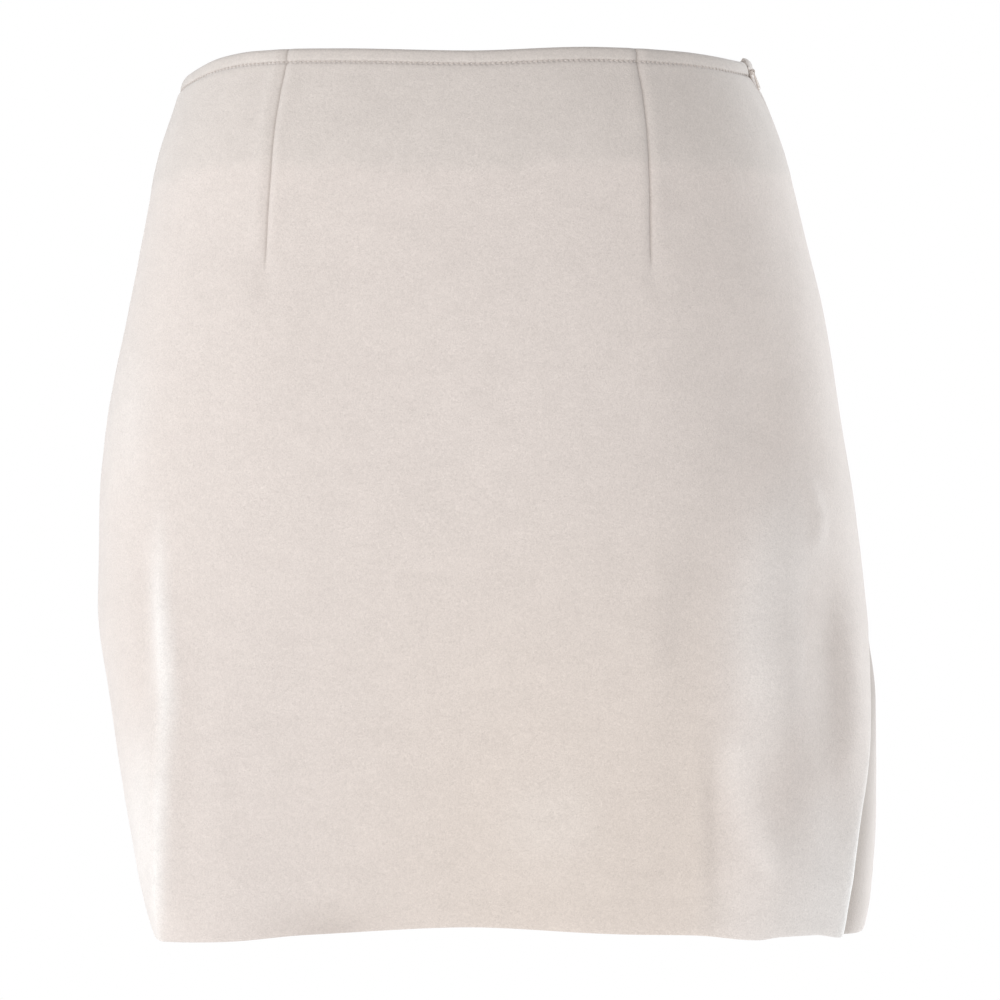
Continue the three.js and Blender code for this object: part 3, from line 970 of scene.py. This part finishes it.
def thicken(piece: Object, full: float) -> bpy.types.Modifier:
    """Gives a sheet its thickness, inward and by its weights.

    Args:
        piece: The sheet.
        full: The full thickness in millimetres.

    Returns:
        The modifier.
    """
    piece.vertex_groups.new(name="thick")
    wall = piece.modifiers.new("wall", "SOLIDIFY")
    wall.thickness, wall.offset = full * MM, -1
    wall.vertex_group, wall.thickness_vertex_group = "thick", 0.0
    return wall


def dress(
    name: str, mesh: Mesh, body: Body, finishes: list[Material], nodes: list[str]
) -> Object:
    """Makes a piece of a mesh, gives it its materials and body, and hides the CAD parts that it stands for.

    Args:
        name: The piece's name.
        mesh: Its mesh, in place.
        body: What it rides on.
        finishes: Its materials.
        nodes: The CAD nodes that it stands for.

    Returns:
        The piece.
    """
    piece = bpy.data.objects.new(name, mesh)
    bpy.context.scene.collection.objects.link(piece)
    for finish in finishes:
        mesh.materials.append(finish)
    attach(piece, body.value)
    if nodes:
        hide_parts(*nodes)
    LOG.info("%s rides on %s", name, body.value)
    return piece


@dataclass
class Zip:
    """The concealed zip: its tape and coil inside the seam, the slider at the waist and the pull on it.

    A block's sizes are its depth, width and height. Depths and gaps are counted in from the outer face.
    """

    SIDES = (0.4, 1.2, 2.2, 2.7, 3.4, 5.0, 7.5, 10.0, 11.6, 12.0)
    TAB = ((0.75, -0.8), (0.75, -2.0), (1.1, -3.6), (1.5, -5.4))
    EYE = ((0.0, 0.66), (0.14, 0.75), (0.28, 0.6))

    cloth: SkirtCloth
    top: float = 9.4
    bottom: float = 165.0
    gap: float = 0.3
    tape: float = 0.8
    coil_half: float = 1.9
    coil_pitch: float = 1.55
    coil_depth: float = 0.6
    wire: float = 0.26
    drop: float = 4.4
    clear: float = 0.45
    body: Sizes = (2.0, 4.6, 8.0)
    neck: tuple[float, float] = (1.5, 5.5)
    nose: Sizes = (0.6, 3.4, 6.0)
    cheek: Sizes = (1.7, 0.65, 2.0)
    roundings: tuple[float, ...] = (0.5, 0.2, 0.25, 0.28)
    bite: float = 0.2
    pin_out: float = 2.25
    pin_radius: float = 0.3
    eye_radius: float = 0.62
    pull_length: float = 9.0
    pull_width: float = 3.4
    pull_depth: float = 0.8
    pull_round: float = 0.22
    pull_border: float = 0.45
    pressed: tuple[float, float] = (0.12, -0.13)

    def behind(self, side: Array, drop: Array, depth: Array | float) -> Array:
        """Points behind the seam.

        Args:
            side: Millimetres round from the seam, towards the back.
            drop: Millimetres down.
            depth: Millimetres in from the cloth's outer face.

        Returns:
            Points in metres.
        """
        shape, back = self.cloth.shape, self.cloth.back
        angle = shape.column["seam_right"](drop) + np.degrees(side / shape.column["right"](drop))
        outer = self.cloth.point(self.cloth.radius(back, angle, drop), angle, drop)
        out = self.cloth.outward(back, angle, drop)
        return (outer - out * np.broadcast_to(depth, drop.shape)[..., None]) * MM

    def build_tape(self, finish: Material) -> Object:
        """Weaves the tape: two halves that roll to their coil in the middle.

        Args:
            finish: The tape's cloth.

        Returns:
            The tape.
        """
        sides = np.array([*(-s for s in reversed(self.SIDES)), 0.0, *self.SIDES])
        side, drop = (a.T for a in np.meshgrid(sides, np.linspace(self.top, self.bottom, 92)))
        points = self.behind(side, drop, self.cloth.single + self.gap + 0.02)
        thick = 0.62 + 0.38 * bump(np.abs(side), 2.45, 0.8) + 0.12 * bump(np.abs(side), 11.7, 0.5)
        mesh = sheet_mesh("zip_tape_cloth", points, thick, np.stack([side, -drop], -1) * MM)
        piece = dress("zip_tape_cloth", mesh, Body.SKIRT, [finish], ["zip_tape"])
        thicken(piece, self.tape)
        return piece

    def build_coil(self, finish: Material) -> Object:
        """Winds the coil: one flat spiral down the middle of the tape.

        Args:
            finish: The coil's wire.

        Returns:
            The coil.
        """
        turns = (self.bottom - self.top - 4) / self.coil_pitch
        t = np.linspace(0, turns * 2 * math.pi, int(turns) * 12)
        drop = self.top + 2 + t / (2 * math.pi) * self.coil_pitch
        middle = self.cloth.single + self.gap + self.tape * 0.62 + self.coil_depth + self.wire
        wound = self.behind(self.coil_half * np.cos(t), drop, middle + self.coil_depth * np.sin(t))
        curve = bpy.data.curves.new("coil line", "CURVE")
        curve.dimensions, curve.bevel_depth, curve.bevel_resolution = "3D", self.wire * MM, 1
        curve.use_fill_caps = True
        spline = curve.splines.new("POLY")
        spline.points.add(len(t) - 1)
        spline.points.foreach_set("co", np.concatenate([wound, np.ones((len(t), 1))], 1).ravel())
        guide = bpy.data.objects.new("coil line", curve)
        bpy.context.scene.collection.objects.link(guide)
        mesh = bpy.data.meshes.new_from_object(guide.evaluated_get(bpy.context.evaluated_depsgraph_get()))
        mesh.name = "zip_coil"
        bpy.data.objects.remove(guide)
        bpy.data.curves.remove(curve)
        mesh.materials.clear()
        mesh.shade_smooth()
        return dress("zip_coil", mesh, Body.SKIRT, [finish], ["zip_tape"])

    def slider_frame(self) -> Matrix:
        """The slider's own frame: X outward, Y round to the back and Z up along the seam.

        Returns:
            Its matrix, in metres.
        """
        def seam(drop: float) -> Vector:
            """A point on the seam."""
            return Vector(self.behind(np.array([0.0]), np.array([drop]), 0.0)[0])

        up = (seam(self.drop - 4) - seam(self.drop + 4)).normalized()
        angle = self.cloth.shape.column["seam_right"](np.array([self.drop]))
        out = Vector(self.cloth.outward(self.cloth.back, angle, np.array([self.drop]))[0])
        around = up.cross(out).normalized()
        turn = Matrix((around.cross(up), around, up)).transposed().to_4x4()
        return Matrix.Translation(seam(self.drop)) @ turn

    @staticmethod
    def _round(made: BMesh, edges: list[BMEdge], reach: float) -> None:
        """Rounds edges by a reach in millimetres."""
        bmesh.ops.bevel(made, geom=edges, offset=reach, offset_type="OFFSET", affect="EDGES", segments=3,
                        profile=0.5, material=-1)

    def _block(self, made: BMesh, size: Sizes, at: Sizes, edge: float) -> None:
        """Adds a block with rounded edges.

        Args:
            made: Where it goes.
            size: Its sizes in millimetres.
            at: Its middle.
            edge: The rounding's reach.
        """
        box = bmesh.ops.create_cube(made, size=1.0)["verts"]
        bmesh.ops.scale(made, vec=size, verts=box)
        bmesh.ops.translate(made, vec=at, verts=box)
        self._round(made, list({e for v in box for e in v.link_edges}), edge)

    def build_slider(self, finish: Material) -> Object:
        """Makes the slider: a body inside the seam, a neck through it, and a nose with two cheeks and a pin.

        Args:
            finish: The enamel.

        Returns:
            The slider.
        """
        made = bmesh.new()
        inside = -(self.cloth.turned + self.clear + self.body[0])
        face = self.clear + self.nose[0]
        side, cheek_out = (self.nose[1] - self.cheek[1]) / 2, face + self.cheek[0] / 2 - self.bite
        blocks = (
            (self.body, (inside + self.body[0] / 2, 0, 0)),
            ((face - inside - 2 * self.bite, *self.neck), ((face + inside) / 2, 0, 0)),
            (self.nose, (self.clear + self.nose[0] / 2, 0, 0)),
            (self.cheek, (cheek_out, -side, 0)),
            (self.cheek, (cheek_out, side, 0)),
        )
        for (size, at), rounding in zip(blocks, (*self.roundings, self.roundings[-1])):
            self._block(made, size, at, rounding)
        turn = Matrix.Translation((self.pin_out, 0, 0)) @ Matrix.Rotation(math.pi / 2, 4, "X")
        bmesh.ops.create_cone(made, cap_ends=True, segments=16, radius1=self.pin_radius,
                              radius2=self.pin_radius, depth=2 * side, matrix=turn)
        return self._finish(made, "slider_body", Body.SKIRT, finish, "zip_slider", 0.0)

    def build_pull(self, finish: Material) -> Object:
        """Makes the pull: an eye round the pin and a drop-shaped tab with a pressed hollow.

        Args:
            finish: The enamel.

        Returns:
            The pull.
        """
        made = bmesh.new()
        half, radius = self.pull_depth / 2, self.pull_width / 2
        ring = [(x, -y) for x, y in self.EYE] + list(reversed(self.EYE))
        rim = [made.verts.new((self.eye_radius + x, y, 0)) for x, y in ring]
        edges = [made.edges.new((rim[k], rim[(k + 1) % len(rim)])) for k in range(len(rim))]
        bmesh.ops.spin(made, geom=rim + edges, cent=(0, 0, 0), axis=(0, 1, 0), angle=2 * math.pi, steps=20,
                       use_merge=True, use_duplicate=False)
        foot = radius - self.pull_length
        arch = [(-radius * math.cos(a), foot - radius * math.sin(a)) for a in np.linspace(0, math.pi, 13)]
        points = [(-y, z) for y, z in self.TAB] + arch + list(reversed(self.TAB))
        tab = made.faces.new([made.verts.new((-half, y, z)) for y, z in points])
        body = bmesh.ops.extrude_face_region(made, geom=[tab])["geom"]
        moved = [v for v in body if isinstance(v, BMVert)]
        bmesh.ops.translate(made, vec=(self.pull_depth, 0, 0), verts=moved)
        plate = {f for v in moved for f in v.link_faces} | {tab}
        bmesh.ops.recalc_face_normals(made, faces=list(plate))
        sharp = [e for f in made.faces if len(f.verts) == len(points) for e in f.edges]
        self._round(made, sharp, self.pull_round)
        wide = [f for f in made.faces if len(f.verts) >= len(points)]
        flats = sorted(wide, key=lambda f: f.calc_area())[-2:]
        for inset, depth in ((self.pull_border, 0.0), self.pressed):
            bmesh.ops.inset_region(made, faces=flats, thickness=inset, depth=depth)
        return self._finish(made, "pull_tab_plate", Body.PULL, finish, "zip_pull", self.pin_out)

    def _finish(self, made: BMesh, name: str, body: Body, finish: Material, node: str, out: float) -> Object:
        """Puts a small hard piece in its place on the seam.

        Args:
            made: Its shape, in millimetres.
            name: The piece's name.
            body: What it rides on.
            finish: Its material.
            node: The CAD node that it stands for.
            out: How far out its middle stands.

        Returns:
            The piece.
        """
        place = self.slider_frame() @ Matrix.Scale(MM, 4) @ Matrix.Translation((out, 0, 0))
        bmesh.ops.transform(made, matrix=place, verts=made.verts)
        bmesh.ops.recalc_face_normals(made, faces=made.faces)
        piece = dress(name, smooth_mesh(made, name), body, [finish], [node])
        piece.modifiers.new("edges", "EDGE_SPLIT").split_angle = math.radians(40)
        return piece


class Shader:
    """One procedural material, with short ways to add its nodes."""

    def __init__(self, name: str, **values: float | tuple[float, ...]) -> None:
        """Starts the material.

        Args:
            name: Its name.
            values: What is the same all over, by the shader's socket names with spaces as underscores.
        """
        self.material = bpy.data.materials.new(name)
        self.material.use_nodes = True
        self.tree = self.material.node_tree
        self.surface = self.tree.nodes["Principled BSDF"]
        for key, value in values.items():
            self.surface.inputs[key.replace("_", " ").title().replace("Ior", "IOR")].default_value = value

    def give(self, socket: NodeSocket, value: object) -> None:
        """Gives a socket what it reads.

        Args:
            socket: The socket.
            value: Another socket, a fixed value, or None to leave it as it is.
        """
        if isinstance(value, NodeSocket):
            self.tree.links.new(value, socket)
        elif value is not None:
            socket.default_value = value

    def node(self, kind: str, *inputs: object, **settings: object) -> Node:
        """Adds a node.

        Args:
            kind: Its type.
            inputs: What its sockets get in order, a socket, a value, or None to leave one.
            settings: Its own settings.

        Returns:
            The node.
        """
        made = self.tree.nodes.new(kind)
        for key, value in settings.items():
            setattr(made, key, value)
        for socket, value in zip(made.inputs, inputs):
            self.give(socket, value)
        return made

    def math(self, operation: str, *inputs: object) -> NodeSocket:
        """Adds arithmetic and gives its result."""
        return self.node("ShaderNodeMath", *inputs, operation=operation).outputs[0]

    def times(self, one: object, other: object) -> NodeSocket:
        """One value times another."""
        return self.math("MULTIPLY", one, other)

    def scaled(self, value: object, by: object, plus: object) -> NodeSocket:
        """A value times one number, plus another."""
        return self.math("MULTIPLY_ADD", value, by, plus)

    def rest(self, value: object) -> NodeSocket:
        """What a value leaves of 1."""
        return self.math("SUBTRACT", 1.0, value)

    def wave(self, value: object, pitch: float, kind: str = "SINE") -> NodeSocket:
        """A wave from -1 to 1."""
        return self.math(kind, self.times(value, 2 * math.pi / pitch))

    def place(self, kind: str, stretch: Sizes = (1, 1, 1)) -> NodeSocket:
        """Coordinates of a kind, stretched."""
        coordinates = self.node("ShaderNodeTexCoord").outputs[kind]
        return self.node("ShaderNodeMapping", coordinates, None, None, stretch).outputs[0]

    def split(self, value: NodeSocket) -> list[NodeSocket]:
        """The three parts of a place."""
        return list(self.node("ShaderNodeSeparateXYZ", value).outputs)

    def noise(self, at: NodeSocket, scale: float, detail: float = 2.0, rough: float = 0.5) -> NodeSocket:
        """Noise about zero, from -0.5 to 0.5."""
        made = self.node("ShaderNodeTexNoise", at, None, scale, detail, rough)
        return self.math("SUBTRACT", made.outputs["Fac"], 0.5)

    def step(self, value: NodeSocket, start: float, end: float) -> NodeSocket:
        """A soft step from 0 at start to 1 at end."""
        made = self.node("ShaderNodeMapRange", value, start, end, 0.0, 1.0, interpolation_type="SMOOTHSTEP")
        return made.outputs[0]

    def blend(self, share: object, one: object, other: object, how: str = "MULTIPLY") -> NodeSocket:
        """Mixes two colours.

        Args:
            share: How much of the mixture counts.
            one: The first colour.
            other: The second.
            how: The way of mixing.

        Returns:
            The colour.
        """
        mixed = self.node("ShaderNodeMix", data_type="RGBA", blend_type=how)
        for index, value in ((0, share), (6, one), (7, other)):
            self.give(mixed.inputs[index], value)
        return mixed.outputs[2]

    def put(self, socket: str, value: NodeSocket) -> None:
        """Links a value to the shader."""
        self.tree.links.new(value, self.surface.inputs[socket])

    def paint(self, color: object, tone: NodeSocket) -> None:
        """Sets the colour, made lighter or darker by a tone."""
        grey = self.node("ShaderNodeCombineXYZ", tone, tone, tone).outputs[0]
        self.put("Base Color", self.blend(1.0, color, grey))

    def relief(self, height: NodeSocket, depth: float, strength: float = 1.0) -> None:
        """Gives the surface a fine relief.

        Args:
            height: Its height, from 0 to 1.
            depth: Its depth in metres.
            strength: How strongly it is felt.
        """
        made = self.node("ShaderNodeBump", strength, depth)
        self.give(made.inputs["Height"], height)
        self.put("Normal", made.outputs[0])


@dataclass(frozen=True)
class SuedeFinish:
    """The napped outside: pale stone, mottled where the nap lies unevenly, greyer over the facing.

    Places on the cloth are metres down from the waist edge. The warm tint lies in the lower middle.
    """

    color: Color = (0.68, 0.617, 0.583, 1.0)
    band: Color = (0.95, 0.955, 0.955, 1.0)
    facing: Color = (0.945, 0.955, 0.955, 1.0)
    warm: Color = (1.012, 0.993, 0.962, 1.0)
    # The next two colours paint light into the nap: a painted highlight, and painted shade that also darkens
    # the dart lines and tack marks.
    painted_highlight: Color = (0.92, 0.91, 0.9, 1.0)
    pressed: Color = (0.62, 0.6, 0.58, 1.0)
    mottle: float = 0.09
    grain: float = 0.28
    pitch: float = 0.0023
    band_edge: tuple[float, float] = (0.0055, 0.0068)
    facing_edge: tuple[float, float] = (0.047, 0.0565)
    ragged: float = 0.008
    warm_down: tuple[float, float] = (-0.15, -0.36)
    warm_right: tuple[float, float] = (-0.1, 0.03)
    warm_left: tuple[float, float] = (0.096, 0.122)

    def build(self) -> Material:
        """Makes the material.

        Returns:
            The material.
        """
        s = Shader("napped suede", roughness=0.95, sheen_weight=0.45, sheen_roughness=0.45,
                   sheen_tint=(1.0, 1.0, 1.0, 1.0), specular_ior_level=0.12)
        at = s.place("Object")
        wide = s.noise(s.place("Object", (1, 1, 1.5)), 55, 3.0, 0.55)
        spots = s.noise(s.place("Object", (0.75, 0.75, 1.2)), 170, 3.0, 0.6)
        nap, flecks = s.noise(at, 1500, 1.0, 0.6), s.noise(at, 640, 2.0, 0.5)
        tone = s.scaled(wide, self.mottle, 1.0)
        for layer, strength in ((spots, self.mottle * 0.7), (nap, self.grain), (flecks, self.grain * 0.5)):
            tone = s.scaled(layer, strength, tone)
        round_cloth, up, _ = s.split(s.place("UV"))
        down = s.times(up, -1.0)
        over = s.rest(s.step(s.scaled(wide, self.ragged, down), *self.facing_edge))
        color = s.blend(over, self.color, self.facing)
        color = s.blend(s.rest(s.step(down, *self.band_edge)), color, self.band)
        left, _, height = s.split(at)
        middle = s.times(s.step(left, *self.warm_right), s.rest(s.step(left, *self.warm_left)))
        color = s.blend(s.times(s.step(height, *self.warm_down), middle), color, self.warm)
        # Painted highlight where the attribute is above 0; painted shade, with the dark dart lines and tack
        # marks, where it is below.
        wear_and_painted_light = s.node("ShaderNodeAttribute", attribute_name="wear_and_painted_light").outputs["Fac"]
        color = s.blend(s.times(s.math("MAXIMUM", wear_and_painted_light, 0.0), 0.92), color, self.painted_highlight, "MIX")
        color = s.blend(s.times(s.math("MINIMUM", wear_and_painted_light, 0.0), -1.0), color, self.pressed)
        s.paint(color, tone)
        raised = s.scaled(spots, 0.8, s.scaled(nap, 0.5, s.times(flecks, 0.35)))
        row = s.rest(s.step(s.math("ABSOLUTE", s.math("SUBTRACT", down, SkirtCloth.band * MM)), 0.0, 0.001))
        pits = s.times(row, s.scaled(s.wave(round_cloth, self.pitch, "COSINE"), 0.8, 0.8))
        s.relief(s.math("SUBTRACT", raised, pits), 0.00035, 0.8)
        return s.material


@dataclass(frozen=True)
class BackingFinish:
    """The wrong side: a smooth, closely knitted backing."""

    color: Color = (0.62, 0.56, 0.52, 1.0)
    rib: float = 0.0009
    loop: float = 0.00072

    def build(self) -> Material:
        """Makes the material.

        Returns:
            The material.
        """
        s = Shader("knitted backing", roughness=0.85, sheen_weight=0.15, sheen_roughness=0.5,
                   specular_ior_level=0.2)
        across, up, _ = s.split(s.place("UV"))
        ribs, loops = s.wave(across, self.rib), s.wave(up, self.loop)
        knit = s.times(s.scaled(ribs, 0.5, 0.5), s.scaled(loops, 0.5, 0.5))
        wide = s.noise(s.place("Object"), 60, 3.0, 0.5)
        s.paint(self.color, s.scaled(wide, 0.1, s.scaled(knit, 0.1, 0.93)))
        s.relief(knit, 0.00012, 0.6)
        return s.material


@dataclass(frozen=True)
class ThreadFinish:
    """Twisted sewing thread in the cloth's colour."""

    color: Color = (0.56, 0.5, 0.46, 1.0)

    def build(self) -> Material:
        """Makes the material.

        Returns:
            The material.
        """
        s = Shader("sewing thread", roughness=0.6, sheen_weight=0.2, sheen_roughness=0.4,
                   specular_ior_level=0.3)
        twist = s.node("ShaderNodeTexWave", s.place("Object"), 1900.0, 1.0, bands_direction="DIAGONAL")
        s.paint(self.color, s.scaled(twist.outputs["Fac"], 0.16, 0.9))
        s.relief(twist.outputs["Fac"], 0.00006, 0.7)
        return s.material


@dataclass(frozen=True)
class TapeFinish:
    """The zip's tape, a fine twill."""

    color: Color = (0.64, 0.57, 0.52, 1.0)
    warp: float = 0.0006
    weft: float = 0.00042

    def build(self) -> Material:
        """Makes the material.

        Returns:
            The material.
        """
        s = Shader("zip tape twill", roughness=0.8, sheen_weight=0.1, sheen_roughness=0.5,
                   specular_ior_level=0.25)
        across, up, _ = s.split(s.place("UV"))
        slant = s.scaled(across, 1.0, s.times(up, 0.6))
        weave = s.scaled(s.wave(slant, self.warp), 0.3, s.scaled(s.wave(up, self.weft), 0.2, 0.5))
        s.paint(self.color, s.scaled(weave, 0.16, 0.9))
        s.relief(weave, 0.0001, 0.7)
        return s.material


@dataclass(frozen=True)
class CoilFinish:
    """The coil's smooth plastic wire."""

    color: Color = (0.68, 0.62, 0.57, 1.0)

    def build(self) -> Material:
        """Makes the material.

        Returns:
            The material.
        """
        s = Shader("coil wire", roughness=0.38, specular_ior_level=0.5, ior=1.53)
        s.paint(self.color, s.scaled(s.noise(s.place("Object"), 900, 2.0, 0.5), 0.1, 1.0))
        return s.material


@dataclass(frozen=True)
class EnamelFinish:
    """The slider's satin enamel, slightly worn."""

    color: Color = (0.7, 0.63, 0.58, 1.0)

    def build(self) -> Material:
        """Makes the material.

        Returns:
            The material.
        """
        s = Shader("satin enamel", roughness=0.35, specular_ior_level=0.5, coat_weight=0.3,
                   coat_roughness=0.25)
        wear_and_painted_light = s.noise(s.place("Object"), 420, 3.0, 0.6)
        s.paint(self.color, s.scaled(wear_and_painted_light, 0.12, 1.0))
        s.put("Roughness", s.scaled(wear_and_painted_light, 0.25, 0.36))
        s.relief(s.noise(s.place("Object"), 1600, 2.0, 0.5), 0.00003, 0.5)
        return s.material


@dataclass(frozen=True)
class Softbox:
    """A soft square light aimed at the skirt, in metres and watts."""

    name: str
    at: Sizes
    side: float
    power: float
    color: Sizes

    def build(self) -> None:
        """Adds the light."""
        data = bpy.data.lights.new(self.name, "AREA")
        data.size, data.energy, data.color = self.side, self.power, self.color
        lamp = bpy.data.objects.new(self.name, data)
        lamp.location = self.at
        lamp.rotation_euler = (Vector((0, 0, -0.2)) - lamp.location).to_track_quat("-Z", "Y").to_euler()
        bpy.context.scene.collection.objects.link(lamp)


@dataclass
class Studio:
    """A pale floor, a white surround, soft lights and the camera."""

    WARM, COOL = (1.0, 0.985, 0.97), (0.94, 0.98, 1.0)
    LIGHTS = (
        Softbox("front softbox", (-1.3, -2.5, 0.2), 1.2, 29.6, WARM),
        Softbox("left softbox", (-2.3, 0.65, 0.0), 1.0, 18.4, COOL),
        Softbox("right softbox", (2.05, 1.4, 0.0), 1.0, 42.0, COOL),
    )

    floor_drop: float = 0.95
    floor_size: float = 5.0
    floor_glow: float = 0.32
    surround: float = 1.0
    overhead: float = 0.3
    lens: float = 173.3

    def build(self) -> None:
        """Makes the studio."""
        self._floor()
        self._surround()
        for light in self.LIGHTS:
            light.build()
        self._camera()
        view = bpy.context.scene.view_settings
        view.view_transform, view.look, view.exposure, view.gamma = "Standard", "None", 0.0, 1.0

    def _floor(self) -> None:
        """A round floor far below the skirt."""
        made = bmesh.new()
        bmesh.ops.create_circle(made, cap_ends=True, segments=96, radius=self.floor_size)
        bmesh.ops.translate(made, vec=(0, 0, -self.floor_drop), verts=made.verts)
        s = Shader("pale floor", roughness=0.9, base_color=(0.86, 0.86, 0.86, 1), specular_ior_level=0.1,
                   emission_color=(1, 1, 1, 1), emission_strength=self.floor_glow)
        floor = bpy.data.objects.new("floor", smooth_mesh(made, "floor"))
        floor.data.materials.append(s.material)
        bpy.context.scene.collection.objects.link(floor)

    def _surround(self) -> None:
        """A white surround, brightest at the height of the skirt."""
        world = bpy.data.worlds.new("white surround")
        world.use_nodes = True
        tree = world.node_tree
        background = tree.nodes["Background"]
        at = tree.nodes.new("ShaderNodeTexCoord")
        split = tree.nodes.new("ShaderNodeSeparateXYZ")
        shade = tree.nodes.new("ShaderNodeMapRange")
        shade.interpolation_type = "SMOOTHSTEP"
        levels = {"From Min": 0.14, "From Max": 0.5, "To Min": self.surround, "To Max": self.overhead}
        for name, value in levels.items():
            shade.inputs[name].default_value = value
        tree.links.new(at.outputs["Generated"], split.inputs[0])
        tree.links.new(split.outputs[2], shade.inputs["Value"])
        tree.links.new(shade.outputs[0], background.inputs["Strength"])
        background.inputs["Color"].default_value = (1, 1, 1, 1)
        bpy.context.scene.world = world

    def _camera(self) -> None:
        """A level camera straight in front."""
        data = bpy.data.cameras.new("camera")
        data.lens, data.sensor_width = self.lens, 36.0
        camera = bpy.data.objects.new("camera", data)
        across, away, drop = SkirtShape.eye_across, SkirtShape.eye_away, SkirtShape.eye_drop
        camera.location = Vector((across, -away, -drop)) * MM
        camera.rotation_euler = (math.pi / 2, 0, 0)
        bpy.context.scene.collection.objects.link(camera)
        bpy.context.scene.camera = camera


def main() -> None:
    """Builds the skirt and its studio."""
    logging.basicConfig(level=logging.INFO, format="%(message)s")
    Studio().build()
    suede, backing = SuedeFinish().build(), BackingFinish().build()
    cloth = SkirtCloth(SkirtShape())
    cloth.build(cloth.front, suede, backing)
    cloth.build(cloth.back, suede, backing)
    cloth.stitches(ThreadFinish().build())
    fastening = Zip(cloth)
    fastening.build_tape(TapeFinish().build())
    fastening.build_coil(CoilFinish().build())
    enamel = EnamelFinish().build()
    fastening.build_slider(enamel)
    fastening.build_pull(enamel)


if __name__ == "__main__":
    main()
